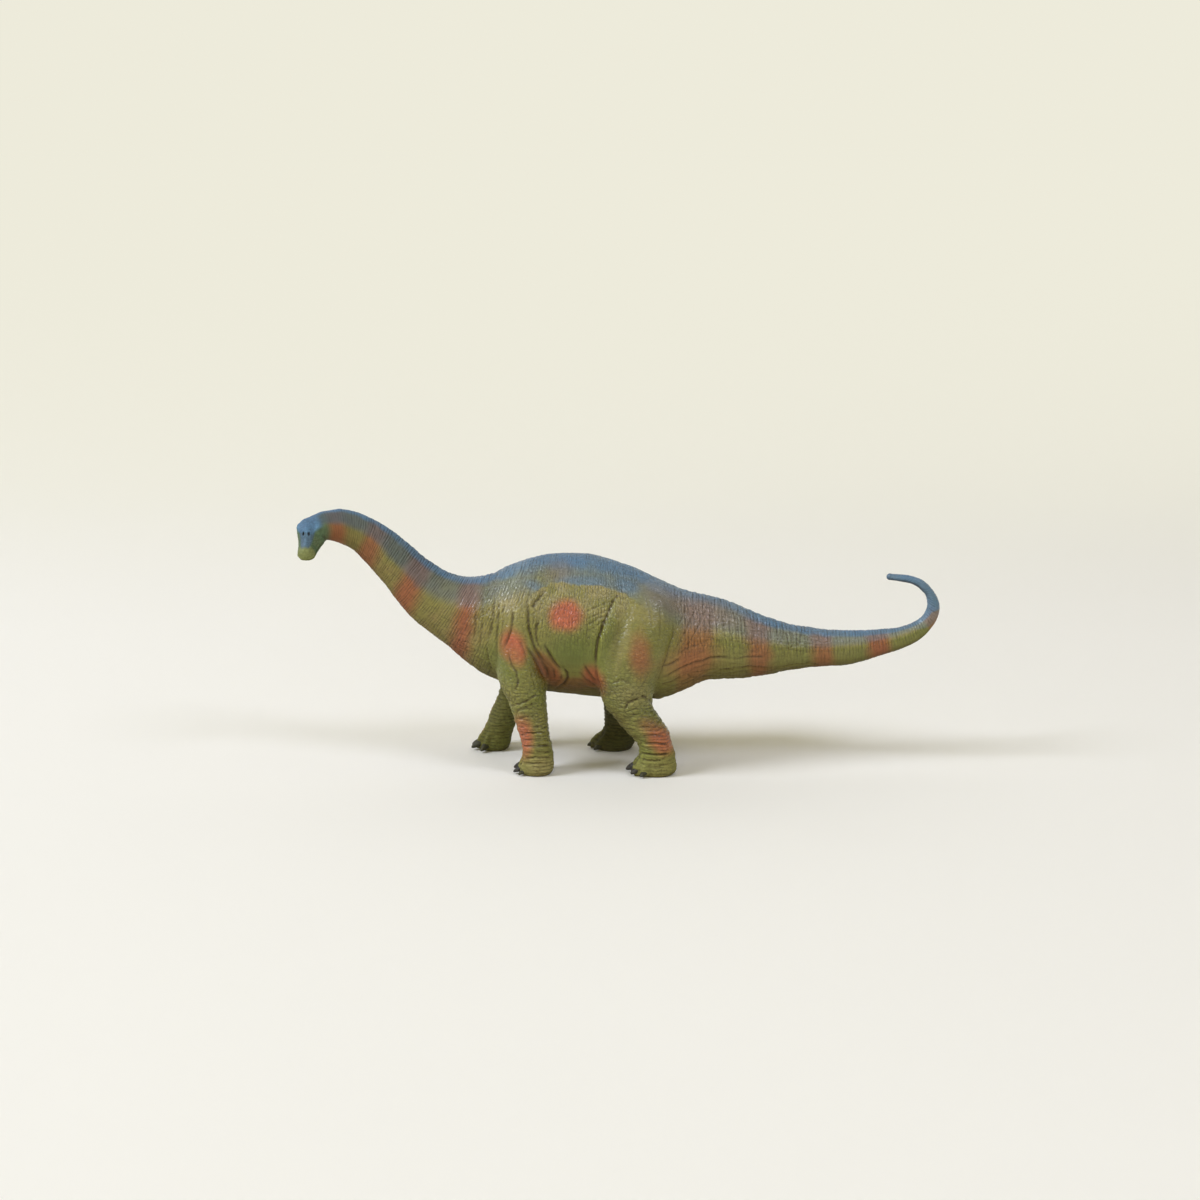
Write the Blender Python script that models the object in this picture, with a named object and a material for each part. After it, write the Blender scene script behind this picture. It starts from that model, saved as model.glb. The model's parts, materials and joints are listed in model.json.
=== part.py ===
"""Toy long-necked dinosaur figure, moulded in nine pieces that plug together and are glued.

The trunk of the animal, from the nape to the tip of the tail, is one lofted form. It is cut at two
seams into a neck, a hollow torso and a tail, and the torso is split along the spine into two shells.
Each leg is its own form, seated on the flank. Every moulding that joins another has a keyed plug, a
round peg with a flat on top, that enters a socket in its neighbour and cannot turn in it.

Frame: metres, +Z up, the animal faces -X, the floor is z = 0 and the origin is under the middle.
"""
import math
from bisect import bisect_right
from collections import namedtuple

import bmesh
import bpy
from mathutils import Matrix, Vector
from mathutils.bvhtree import BVHTree

# Whole figure
FIGURE_LENGTH = 0.330
FIGURE_HEIGHT = 0.135
BODY_WIDTH = 0.058

# Mouldings and their fit
SHELL_WALL = 0.003
SEAT_GAP = 0.0003
PLUG_ROOT = 0.0012
COLLAR_WALL = 0.0018
BOSS_RADIUS = 0.0032
PIN_RADIUS = 0.0014
PIN_LENGTH = 0.0035
KEY_FLAT_SHARE = 0.3

# Plugs, as a radius and a reach past the seam
HEAD_PLUG_RADIUS = 0.0035
HEAD_PLUG_REACH = 0.006
NECK_PLUG_RADIUS = 0.009
NECK_PLUG_REACH = 0.010
TAIL_PLUG_RADIUS = 0.008
TAIL_PLUG_REACH = 0.010
LEG_PLUG_RADIUS = 0.0045
LEG_PLUG_REACH = 0.007

# Head
HEAD_LENGTH = 0.0243
HEAD_DEPTH = 0.0140
HEAD_WIDTH = 0.0120
SKULL_REACH = 0.0072
HEAD_YAW = math.radians(85)
HEAD_PITCH = math.radians(42)
THROAT_RADIUS = 0.0048
EYE_RADIUS = 0.0014
NOSTRIL_RADIUS = 0.00055
NOSTRIL_SPACING = 0.0027

# Legs
FORE_LEG_DEPTH = 0.0244
FORE_LEG_BREADTH = 0.0260
HIND_LEG_DEPTH = 0.0366
HIND_LEG_BREADTH = 0.0288
CLAW_LENGTH = 0.0086
CLAW_RADIUS = 0.0026

# Cutters run this far past what they cut
OVERRUN = 0.002

# Steps between two rings when a curve is measured, and the part of a row that its direction is read over
STEPS_PER_RING = 8
ROW_NUDGE = 0.05

# How finely the forms are faceted
TRUNK_SIDES = 28
LEG_SIDES = 18
HEAD_SIDES = 22
PLUG_SIDES = 20
BALL_SIDES = 10
CLAW_SIDES = 8
NECK_RINGS = 22
TORSO_RINGS = 20
TAIL_RINGS = 33
TIP_RINGS = 3

# The trunk in side view and plan. Each row holds the spine line's x and z, the belly line's x and z,
# the half width and the sideways shift. Lengths along x are shares of the figure's length, heights are
# shares of its height, and the last two are shares of its width. A moulding starts on the row that the
# one before it ends on.
NECK_SHARES = (
    (-0.456, 0.991, -0.447, 0.883, 0.124, -0.130),
    (-0.428, 0.997, -0.428, 0.864, 0.131, -0.075),
    (-0.400, 0.979, -0.411, 0.839, 0.141, -0.035),
    (-0.373, 0.947, -0.396, 0.800, 0.155, -0.010),
    (-0.346, 0.901, -0.380, 0.754, 0.170, 0.000),
    (-0.318, 0.843, -0.360, 0.696, 0.185, 0.000),
    (-0.291, 0.789, -0.342, 0.633, 0.207, 0.000),
    (-0.260, 0.744, -0.319, 0.567, 0.238, 0.000),
    (-0.229, 0.727, -0.290, 0.508, 0.276, 0.000),
    (-0.198, 0.738, -0.259, 0.448, 0.328, 0.000),
)
TORSO_SHARES = (
    (-0.167, 0.773, -0.231, 0.389, 0.388, 0.000),
    (-0.136, 0.800, -0.205, 0.346, 0.440, 0.000),
    (-0.102, 0.816, -0.145, 0.299, 0.474, 0.000),
    (-0.040, 0.814, -0.043, 0.266, 0.500, 0.000),
    (0.025, 0.764, 0.048, 0.253, 0.466, 0.000),
    (0.060, 0.726, 0.070, 0.255, 0.431, 0.000),
)
TAIL_SHARES = (
    (0.097, 0.684, 0.099, 0.281, 0.371, 0.000),
    (0.136, 0.659, 0.138, 0.323, 0.310, 0.000),
    (0.175, 0.633, 0.180, 0.329, 0.267, 0.000),
    (0.222, 0.584, 0.224, 0.341, 0.224, 0.000),
    (0.270, 0.545, 0.271, 0.363, 0.181, 0.000),
    (0.317, 0.525, 0.318, 0.377, 0.155, 0.000),
    (0.364, 0.519, 0.365, 0.385, 0.138, 0.000),
    (0.403, 0.521, 0.406, 0.415, 0.112, 0.000),
    (0.437, 0.531, 0.443, 0.444, 0.095, 0.000),
    (0.460, 0.549, 0.471, 0.480, 0.079, 0.000),
    (0.475, 0.574, 0.489, 0.521, 0.069, 0.000),
    (0.482, 0.606, 0.500, 0.570, 0.064, 0.000),
    (0.481, 0.645, 0.502, 0.625, 0.060, 0.000),
    (0.472, 0.676, 0.492, 0.676, 0.055, 0.000),
    (0.458, 0.698, 0.475, 0.715, 0.050, 0.000),
    (0.439, 0.709, 0.453, 0.734, 0.045, 0.000),
    (0.420, 0.715, 0.426, 0.740, 0.034, 0.000),
)
TRUNK_SHARES = NECK_SHARES + TORSO_SHARES + TAIL_SHARES
NECK_SEAM = len(NECK_SHARES)
TAIL_SEAM = NECK_SEAM + len(TORSO_SHARES)
TRUNK_END = len(TRUNK_SHARES) - 1

# A section is fuller than an ellipse, and it narrows from its middle up to the spine
FULLNESS = 2.15
CREST_SHARE = 0.28

# The legs from above the shoulder or the hip down to the sole. Each row holds the height as a share of
# the figure's height, the left and the right leg's middle as shares of its length, how far out that
# middle is as a share of its width, the half depth as a share of the leg's depth and the half breadth
# as a share of the leg's breadth. The right legs stand a stride ahead of the left ones.
FORE_LEG_SHARES = (
    (0.681, -0.148, -0.149, 0.216, 0.082, 0.231),
    (0.656, -0.148, -0.150, 0.241, 0.135, 0.365),
    (0.598, -0.152, -0.151, 0.259, 0.279, 0.462),
    (0.521, -0.153, -0.151, 0.284, 0.393, 0.496),
    (0.444, -0.152, -0.150, 0.310, 0.467, 0.500),
    (0.381, -0.149, -0.150, 0.333, 0.500, 0.481),
    (0.327, -0.144, -0.151, 0.345, 0.459, 0.438),
    (0.288, -0.140, -0.154, 0.352, 0.410, 0.396),
    (0.241, -0.136, -0.161, 0.359, 0.385, 0.365),
    (0.201, -0.133, -0.169, 0.362, 0.352, 0.342),
    (0.150, -0.129, -0.181, 0.367, 0.328, 0.319),
    (0.096, -0.124, -0.188, 0.371, 0.324, 0.312),
    (0.059, -0.124, -0.194, 0.371, 0.340, 0.319),
    (0.020, -0.125, -0.198, 0.371, 0.357, 0.323),
    (0.000, -0.126, -0.199, 0.371, 0.300, 0.269),
)
HIND_LEG_SHARES = (
    (0.719, 0.040, 0.038, 0.138, 0.109, 0.174),
    (0.698, 0.040, 0.038, 0.172, 0.246, 0.295),
    (0.663, 0.039, 0.036, 0.210, 0.391, 0.392),
    (0.625, 0.036, 0.033, 0.238, 0.448, 0.451),
    (0.579, 0.032, 0.028, 0.269, 0.489, 0.486),
    (0.521, 0.027, 0.021, 0.300, 0.500, 0.500),
    (0.463, 0.022, 0.015, 0.326, 0.484, 0.490),
    (0.405, 0.017, 0.011, 0.345, 0.432, 0.455),
    (0.347, 0.014, 0.009, 0.359, 0.388, 0.417),
    (0.307, 0.014, 0.012, 0.367, 0.369, 0.382),
    (0.261, 0.019, 0.013, 0.374, 0.339, 0.351),
    (0.215, 0.032, 0.012, 0.378, 0.325, 0.326),
    (0.170, 0.045, 0.012, 0.379, 0.306, 0.312),
    (0.133, 0.055, 0.008, 0.379, 0.262, 0.299),
    (0.091, 0.061, 0.007, 0.379, 0.251, 0.299),
    (0.056, 0.061, 0.003, 0.378, 0.268, 0.309),
    (0.020, 0.060, -0.004, 0.376, 0.292, 0.323),
    (0.000, 0.059, -0.005, 0.376, 0.250, 0.274),
)
FORE_PLUG_HEIGHT_SHARE = 0.51
HIND_PLUG_HEIGHT_SHARE = 0.52

# Four claws round the front of a foot: the turn from straight ahead towards the outer side, and the
# size against the largest
CLAW_SHARES = ((-0.08, 0.85), (0.02, 1.00), (0.11, 0.85), (0.18, 0.65))
CLAW_HEIGHT_SHARE = 0.024
CLAW_SEAT_SHARE = 0.50
CLAW_DROOP_SHARE = 0.25
CLAW_TIP_SHARE = 0.25

# The head along its own axis, from the back of the skull to the end of the snout: the place along it,
# the top and the bottom as shares of its depth, and the half width as a share of its width
HEAD_SHARES = (
    (0.00, 0.06, -0.06, 0.06),
    (0.04, 0.19, -0.22, 0.26),
    (0.12, 0.31, -0.36, 0.40),
    (0.24, 0.41, -0.45, 0.48),
    (0.36, 0.45, -0.48, 0.50),
    (0.46, 0.42, -0.48, 0.47),
    (0.55, 0.31, -0.47, 0.42),
    (0.66, 0.22, -0.45, 0.375),
    (0.80, 0.18, -0.43, 0.36),
    (0.90, 0.13, -0.39, 0.345),
    (0.96, 0.04, -0.31, 0.27),
    (1.00, -0.09, -0.19, 0.08),
)
SKULL_SHARE = 0.28
EYE_SHARES = (0.35, 0.16, 0.43)
NOSTRIL_SHARE = 0.54

# The stub of the head that meets the neck, as places towards the skull and sizes there, and the throat
# under it: how far it starts ahead of the nape and below its middle, and where it ends in the snout
STUB_SHARES = ((0.0, 1.0), (0.5, 0.94), (1.0, 0.78))
THROAT_START_SHARES = (0.35, 0.35)
THROAT_END_SHARES = (0.84, -0.14)
THROAT_TAPER_SHARE = 0.66

# Bosses that join the two shells: the place between the torso's seams, and the height in the section
# from the belly to the spine
BOSS_SHARES = ((0.36, 0.86), (0.80, 0.84), (0.42, 0.13), (0.84, 0.16))

Frame = namedtuple("Frame", "centre up across normal half_height half_width")
Plug = namedtuple("Plug", "centre axis up radius reach")
Leg = namedtuple("Leg", "rows side depth breadth plug_height")


def clear_scene():
    """Removes every object that the scene starts with."""
    for existing in list(bpy.data.objects):
        bpy.data.objects.remove(existing, do_unlink=True)


def spline(rows, place):
    """Returns the row at a place along a smooth curve through the rows, where row 2 is at place 2."""
    last = len(rows) - 1
    first = min(int(place), last - 1)
    t = place - first
    before, start, end, after = (rows[min(max(first + step, 0), last)] for step in (-1, 0, 1, 2))
    return tuple(
        (2 * b + (c - a) * t + (2 * a - 5 * b + 4 * c - d) * t**2 + (3 * b - a - 3 * c + d) * t**3) / 2
        for a, b, c, d in zip(before, start, end, after)
    )


def trunk_lines(place):
    """Returns the spine point, the belly point and the half width at a place along the trunk."""
    spine_x, spine_z, belly_x, belly_z, half_width, side = spline(TRUNK_SHARES, place)
    across = side * BODY_WIDTH
    spine = Vector((spine_x * FIGURE_LENGTH, across, spine_z * FIGURE_HEIGHT))
    belly = Vector((belly_x * FIGURE_LENGTH, across, belly_z * FIGURE_HEIGHT))
    return spine, belly, half_width * BODY_WIDTH


def trunk_centre(place):
    """Returns the middle of the trunk's section at a place."""
    spine, belly, _ = trunk_lines(place)
    return (spine + belly) / 2


def even_places(first, last, count):
    """Returns places from first to last that lie evenly along the trunk's middle line."""
    steps = STEPS_PER_RING * count
    fine = [first + (last - first) * step / steps for step in range(steps + 1)]
    run = [0.0]
    for here, there in zip(fine, fine[1:]):
        run.append(run[-1] + (trunk_centre(there) - trunk_centre(here)).length)
    places = []
    for step in range(count + 1):
        wanted = run[-1] * step / count
        k = min(bisect_right(run, wanted), steps) - 1
        part = (wanted - run[k]) / (run[k + 1] - run[k])
        places.append(fine[k] + (fine[k + 1] - fine[k]) * part)
    return places


def trunk_frame(place):
    """Returns the frame of the trunk's section at a place. Its normal points from the head to the tail."""
    spine, belly, half_width = trunk_lines(place)
    ahead = trunk_centre(min(place + ROW_NUDGE, TRUNK_END))
    behind = trunk_centre(max(place - ROW_NUDGE, 0))
    up = (spine - belly).normalized()
    across = up.cross(ahead - behind).normalized()
    half_height = (spine - belly).length / 2
    return Frame((spine + belly) / 2, up, across, across.cross(up), half_height, half_width)


def shifted(frame, distance):
    """Returns the frame moved along its normal."""
    return frame._replace(centre=frame.centre + frame.normal * distance)


def swell(value):
    """Turns a cosine or a sine into the fuller curve of the sections."""
    return math.copysign(abs(value) ** (2 / FULLNESS), value)


def ring(frame, sides, grow=0.0, crest=0.0):
    """Returns the points of one section, grown or shrunk evenly, with its upper half narrowed by crest."""
    points = []
    for step in range(sides):
        angle = math.tau * step / sides
        height = swell(math.cos(angle))
        width = swell(math.sin(angle)) * (1 - crest * max(height, 0) ** 2)
        rise = frame.up * (height * (frame.half_height + grow))
        points.append(frame.centre + rise + frame.across * (width * (frame.half_width + grow)))
    return points


def rounded_end(frame, sides, grow, crest):
    """Returns the shrinking rings of a blunt tip past the frame, and its last point."""
    length = (frame.half_height + frame.half_width) / 2
    rings = []
    for step in range(1, TIP_RINGS):
        angle = math.pi / 2 * step / TIP_RINGS
        size = math.cos(angle)
        small = frame._replace(
            centre=frame.centre + frame.normal * (length * math.sin(angle)),
            half_height=frame.half_height * size,
            half_width=frame.half_width * size,
        )
        rings.append(ring(small, sides, grow * size, crest))
    tip = frame.centre + frame.normal * (length + grow)
    return rings, tip


def new_object(name, mesh):
    """Puts a mesh into the scene as an object, shaded smooth except at sharp edges."""
    body = bpy.data.objects.new(name, mesh)
    bpy.context.scene.collection.objects.link(body)
    mesh.shade_smooth()
    mesh.set_sharp_from_angle(angle=math.radians(40))
    return body


def loft(name, rings, tip=None):
    """Skins rings of equally many points into a closed solid with a flat start, and a tip or a flat end."""
    form = bmesh.new()
    loops = [[form.verts.new(point) for point in points] for points in rings]
    sides = len(loops[0])
    for first, second in zip(loops, loops[1:]):
        for k in range(sides):
            form.faces.new((first[k], first[(k + 1) % sides], second[(k + 1) % sides], second[k]))
    form.faces.new(reversed(loops[0]))
    if tip is None:
        form.faces.new(loops[-1])
    else:
        end = form.verts.new(tip)
        for k in range(sides):
            form.faces.new((loops[-1][k], loops[-1][(k + 1) % sides], end))
    bmesh.ops.recalc_face_normals(form, faces=form.faces[:])
    mesh = bpy.data.meshes.new(name)
    form.to_mesh(mesh)
    form.free()
    return new_object(name, mesh)


def plug_solid(name, plug, back, grow=0.0):
    """Makes a keyed plug that starts a distance behind its seam. Grown, it is the cutter of its socket."""
    radius = plug.radius + grow
    flat = plug.radius * (1 - KEY_FLAT_SHARE) + grow
    across = plug.up.cross(plug.axis)
    outline = []
    for step in range(PLUG_SIDES):
        angle = math.tau * (step + 0.5) / PLUG_SIDES
        rise = min(radius * math.cos(angle), flat)
        outline.append(plug.centre + plug.up * rise + across * (radius * math.sin(angle)))
    start = [point - plug.axis * back for point in outline]
    end = [point + plug.axis * (plug.reach + grow) for point in outline]
    return loft(name, [start, end])


def round_bar(name, start, end, radius, sides=PLUG_SIDES):
    """Makes a plain round bar between two points."""
    axis = (end - start).normalized()
    across = axis.orthogonal().normalized()
    up = across.cross(axis)
    outline = [
        (up * math.cos(math.tau * k / sides) + across * math.sin(math.tau * k / sides)) * radius
        for k in range(sides)
    ]
    return loft(name, [[start + point for point in outline], [end + point for point in outline]])


def ball(name, centre, radius):
    """Makes a ball, for an eye or a nostril."""
    form = bmesh.new()
    bmesh.ops.create_uvsphere(
        form,
        u_segments=BALL_SIDES,
        v_segments=BALL_SIDES // 2,
        radius=radius,
        matrix=Matrix.Translation(centre),
    )
    mesh = bpy.data.meshes.new(name)
    form.to_mesh(mesh)
    form.free()
    return new_object(name, mesh)


def box(name, low, high):
    """Makes a box between two corners."""
    form = bmesh.new()
    size = high - low
    place = Matrix.Translation((low + high) / 2) @ Matrix.Diagonal((*size, 1))
    bmesh.ops.create_cube(form, size=1, matrix=place)
    mesh = bpy.data.meshes.new(name)
    form.to_mesh(mesh)
    form.free()
    return new_object(name, mesh)


def combine(target, tool, operation):
    """Adds a Boolean of a tool to a target, and leaves the tool in the scene as a hidden helper."""
    modifier = target.modifiers.new(f"{operation.lower()} {tool.name}", "BOOLEAN")
    modifier.operation = operation
    modifier.solver = "EXACT"
    modifier.object = tool
    tool.hide_render = True
    tool.display_type = "WIRE"


def trunk_form(name, first, last, count, grow=0.0, first_shift=0.0, last_shift=0.0, tip=False):
    """Lofts a stretch of the trunk. Its end sections are moved along the trunk by the two shifts."""
    frames = [trunk_frame(place) for place in even_places(first, last, count)]
    frames[0] = shifted(frames[0], first_shift)
    frames[-1] = shifted(frames[-1], last_shift)
    rings = [ring(frame, TRUNK_SIDES, grow, CREST_SHARE) for frame in frames]
    if not tip:
        return loft(name, rings)
    end_rings, point = rounded_end(frames[-1], TRUNK_SIDES, grow, CREST_SHARE)
    return loft(name, rings + end_rings, point)


def whole_trunk(name, grow):
    """Lofts the whole trunk with the sections of its three mouldings, for what seats on it."""
    places = even_places(0, NECK_SEAM, NECK_RINGS)
    places += even_places(NECK_SEAM, TAIL_SEAM, TORSO_RINGS)[1:]
    places += even_places(TAIL_SEAM, TRUNK_END, TAIL_RINGS)[1:]
    frames = [trunk_frame(place) for place in places]
    rings = [ring(frame, TRUNK_SIDES, grow, CREST_SHARE) for frame in frames]
    end_rings, point = rounded_end(frames[-1], TRUNK_SIDES, grow, CREST_SHARE)
    return loft(name, rings + end_rings, point)


def trunk_plug(place, direction, radius, reach):
    """Returns the plug that crosses a seam of the trunk towards the tail (1) or the head (-1)."""
    frame = trunk_frame(place)
    return Plug(frame.centre, frame.normal * direction, frame.up, radius, reach)


def leg_row(leg, place):
    """Returns the middle, the half depth and the half breadth of a leg at a place down its rows."""
    height, left_x, right_x, out, half_depth, half_breadth = spline(leg.rows, place)
    x = left_x if leg.side < 0 else right_x
    middle = Vector((x * FIGURE_LENGTH, leg.side * out * BODY_WIDTH, height * FIGURE_HEIGHT))
    return middle, half_depth * leg.depth, half_breadth * leg.breadth


def leg_ring(leg, place):
    """Returns the level section of a leg at a place down its rows."""
    middle, half_depth, half_breadth = leg_row(leg, place)
    forward, outward = Vector((-1, 0, 0)), Vector((0, leg.side, 0))
    frame = Frame(middle, forward, outward, Vector((0, 0, -1)), half_depth, half_breadth)
    return ring(frame, LEG_SIDES)


def leg_plug(leg, trunk):
    """Returns the plug of a leg, level and square to the spine, where the leg meets the flank."""
    rows = [row[0] for row in leg.rows]
    above = max(k for k, height in enumerate(rows) if height > leg.plug_height)
    place = above + (rows[above] - leg.plug_height) / (rows[above] - rows[above + 1])
    middle = leg_row(leg, place)[0]
    inward = Vector((0, -leg.side, 0))
    surface = trunk.ray_cast(middle - inward * BODY_WIDTH, inward)[0]
    return Plug(surface, inward, Vector((0, 0, 1)), LEG_PLUG_RADIUS, LEG_PLUG_REACH)


def add_claws(body, leg):
    """Adds the blunt claws round the front of a foot, with their tips clear of the floor."""
    place = len(leg.rows) - 2
    middle, half_depth, half_breadth = leg_row(leg, place)
    for number, (turn, size) in enumerate(CLAW_SHARES, 1):
        angle = math.tau * turn
        length = CLAW_LENGTH * size
        out = Vector((-math.cos(angle) * half_depth, leg.side * math.sin(angle) * half_breadth, 0))
        direction = (out.normalized() - Vector((0, 0, CLAW_DROOP_SHARE))).normalized()
        foot_rim = Vector((middle.x, middle.y, CLAW_HEIGHT_SHARE * FIGURE_HEIGHT * size)) + out
        start = foot_rim - direction * (length * CLAW_SEAT_SHARE)
        claw = claw_solid(f"{body.name}_claw_{number}", start, direction, length, CLAW_RADIUS * size)
        combine(body, claw, "UNION")


def claw_solid(name, start, direction, length, radius):
    """Makes one claw: a short bar that narrows in a curve to a blunt tip."""
    across = direction.cross(Vector((0, 0, 1))).normalized()
    frame = Frame(start, across.cross(direction), across, direction, radius, radius)
    rings = []
    for step in range(TIP_RINGS + 1):
        part = step / TIP_RINGS
        size = radius * (1 - (1 - CLAW_TIP_SHARE) * part**2)
        moved = shifted(frame, length * part)._replace(half_height=size, half_width=size)
        rings.append(ring(moved, CLAW_SIDES))
    return loft(name, rings)


def make_leg(name, leg, trunk, flank):
    """Makes one leg with its sole, claws and plug, hollowed on its inner side to sit on the flank."""
    count = 2 * (len(leg.rows) - 1)
    body = loft(name, [leg_ring(leg, step / 2) for step in range(count + 1)])
    combine(body, flank, "DIFFERENCE")
    plug = leg_plug(leg, trunk)
    combine(body, plug_solid(f"{name}_plug", plug, PLUG_ROOT), "UNION")
    add_claws(body, leg)
    return body, plug


def head_axes():
    """Returns the head's forward, up and across directions."""
    level = math.cos(HEAD_PITCH)
    forward = Vector((-math.cos(HEAD_YAW) * level, -math.sin(HEAD_YAW) * level, -math.sin(HEAD_PITCH)))
    across = forward.cross(Vector((0, 0, 1))).normalized()
    return forward, across.cross(forward), across


def head_frame(row):
    """Returns the frame of one section of the head."""
    nape = trunk_frame(0)
    forward, up, across = head_axes()
    along, top, bottom, half_width = row
    skull = nape.centre - nape.normal * SKULL_REACH
    centre = skull + forward * ((along - SKULL_SHARE) * HEAD_LENGTH)
    centre += up * ((top + bottom) / 2 * HEAD_DEPTH)
    half_height = (top - bottom) / 2 * HEAD_DEPTH
    return Frame(centre, up, across, forward, half_height, half_width * HEAD_WIDTH)


def head_point(along, height, side):
    """Returns a point of the head from its shares of length, depth and width."""
    frame = head_frame((along, height, height, 0))
    return frame.centre + frame.across * (side * HEAD_WIDTH)


def make_head():
    """Makes the head: the skull and snout, the stub that meets the neck, the eyes, nostrils and plug."""
    steps = 2 * (len(HEAD_SHARES) - 1)
    rows = [spline(HEAD_SHARES, step / 2) for step in range(steps + 1)]
    head = loft("head", [ring(head_frame(row), HEAD_SIDES) for row in rows])

    nape = shifted(trunk_frame(0), -SEAT_GAP / 2)
    stub_rings = []
    for along, size in STUB_SHARES:
        frame = shifted(nape, -SKULL_REACH * along)
        frame = frame._replace(half_height=nape.half_height * size, half_width=nape.half_width * size)
        stub_rings.append(ring(frame, HEAD_SIDES, 0, CREST_SHARE))
    combine(head, loft("head_stub", stub_rings), "UNION")
    combine(head, make_throat(nape), "UNION")
    behind = round_bar("neck_space", nape.centre, nape.centre + nape.normal * HEAD_LENGTH, HEAD_LENGTH)
    combine(head, behind, "DIFFERENCE")

    along, height, out = EYE_SHARES
    bridge = head_frame(spline(HEAD_SHARES, row_place(HEAD_SHARES, NOSTRIL_SHARE)))
    ridge = bridge.centre + bridge.up * bridge.half_height
    for word, side in (("left", -1), ("right", 1)):
        combine(head, ball(f"{word}_eye", head_point(along, height, side * out), EYE_RADIUS), "UNION")
        pit = ridge + bridge.across * (side * NOSTRIL_SPACING / 2)
        combine(head, ball(f"{word}_nostril", pit, NOSTRIL_RADIUS), "DIFFERENCE")

    plug = trunk_plug(0, 1, HEAD_PLUG_RADIUS, HEAD_PLUG_REACH)
    combine(head, plug_solid("head_plug", plug, PLUG_ROOT), "UNION")
    return head, plug


def row_place(rows, first_value):
    """Returns the place at which the rows' first column, which rises, reaches a value."""
    below = max(k for k, row in enumerate(rows) if row[0] <= first_value)
    return below + (first_value - rows[below][0]) / (rows[below + 1][0] - rows[below][0])


def make_throat(nape):
    """Makes the throat, which runs straight from under the nape to the underside of the snout."""
    ahead, below = THROAT_START_SHARES
    start = nape.centre - nape.normal * (ahead * SKULL_REACH) - nape.up * (below * nape.half_height)
    end = head_point(*THROAT_END_SHARES, 0)
    along = (end - start).normalized()
    across = along.cross(Vector((0, 0, 1))).normalized()
    frame = Frame(start, across.cross(along), across, along, THROAT_RADIUS, THROAT_RADIUS)
    small = THROAT_RADIUS * THROAT_TAPER_SHARE
    last = frame._replace(centre=end, half_height=small, half_width=small)
    return loft("throat", [ring(frame, HEAD_SIDES), ring(last, HEAD_SIDES)])


def make_neck(head_plug):
    """Makes the solid neck, with the head's socket in one end and its own plug on the other."""
    neck = trunk_form("neck", 0, NECK_SEAM, NECK_RINGS, 0, SEAT_GAP / 2, -SEAT_GAP / 2)
    combine(neck, plug_solid("head_socket", head_plug, OVERRUN, SEAT_GAP), "DIFFERENCE")
    plug = trunk_plug(NECK_SEAM, 1, NECK_PLUG_RADIUS, NECK_PLUG_REACH)
    combine(neck, plug_solid("neck_plug", plug, PLUG_ROOT), "UNION")
    return neck, plug


def make_tail():
    """Makes the solid tail with its curled tip and its plug."""
    tail = trunk_form("tail", TAIL_SEAM, TRUNK_END, TAIL_RINGS, 0, SEAT_GAP / 2, 0, tip=True)
    plug = trunk_plug(TAIL_SEAM, -1, TAIL_PLUG_RADIUS, TAIL_PLUG_REACH)
    combine(tail, plug_solid("tail_plug", plug, PLUG_ROOT), "UNION")
    return tail, plug


def make_hollow(plugs):
    """Makes the space inside the torso, less the collars round the plugs and the bosses across it."""
    end = SHELL_WALL + SEAT_GAP / 2
    hollow = trunk_form("torso_hollow", NECK_SEAM, TAIL_SEAM, TORSO_RINGS, -SHELL_WALL, end, -end)
    for name, plug in plugs.items():
        radius = plug.radius + SEAT_GAP + COLLAR_WALL
        start, stop = plug.centre - plug.axis * OVERRUN, plug.centre + plug.axis * plug.reach
        combine(hollow, round_bar(f"{name}_collar", start, stop, radius), "DIFFERENCE")
    reach = Vector((0, BODY_WIDTH, 0))
    for number, middle in enumerate(boss_middles(), 1):
        boss = round_bar(f"boss_{number}", middle - reach, middle + reach, BOSS_RADIUS)
        combine(hollow, boss, "DIFFERENCE")
    return hollow


def boss_middles():
    """Returns the middles of the bosses, in the plane between the two shells."""
    middles = []
    for along, height in BOSS_SHARES:
        frame = trunk_frame(NECK_SEAM + along * (TAIL_SEAM - NECK_SEAM))
        middles.append(frame.centre + frame.up * ((2 * height - 1) * frame.half_height))
    return middles


def make_shell(name, side, hollow, plugs):
    """Makes the left (-1) or right (1) shell of the torso, with its sockets and its pins or pin holes.

    A leg's plug enters the shell on its own side, from which it points inwards. The plugs of the neck and
    the tail lie in the plane between the shells and enter both.
    """
    shell = trunk_form(name, NECK_SEAM, TAIL_SEAM, TORSO_RINGS, 0, SEAT_GAP / 2, -SEAT_GAP / 2)
    combine(shell, hollow, "DIFFERENCE")
    far = Vector((FIGURE_LENGTH, BODY_WIDTH, FIGURE_HEIGHT))
    edges = (side * SEAT_GAP / 2, side * BODY_WIDTH)
    low, high = Vector((-far.x, min(edges), 0)), Vector((far.x, max(edges), far.z))
    combine(shell, box(f"{name}_half", low, high), "INTERSECT")
    for word, plug in plugs.items():
        if plug.axis.y * side <= 0:
            cutter = plug._replace(reach=plug.reach + OVERRUN)
            combine(shell, plug_solid(f"{name}_{word}_socket", cutter, OVERRUN, SEAT_GAP), "DIFFERENCE")
    reach = Vector((0, PIN_LENGTH, 0))
    for number, middle in enumerate(boss_middles(), 1):
        if side < 0:
            pin = round_bar(f"pin_{number}", middle - reach, middle + reach, PIN_RADIUS)
            combine(shell, pin, "UNION")
        else:
            end = middle + reach + Vector((0, SEAT_GAP, 0))
            hole = round_bar(f"pin_hole_{number}", middle - reach, end, PIN_RADIUS + SEAT_GAP)
            combine(shell, hole, "DIFFERENCE")
    return shell


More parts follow.
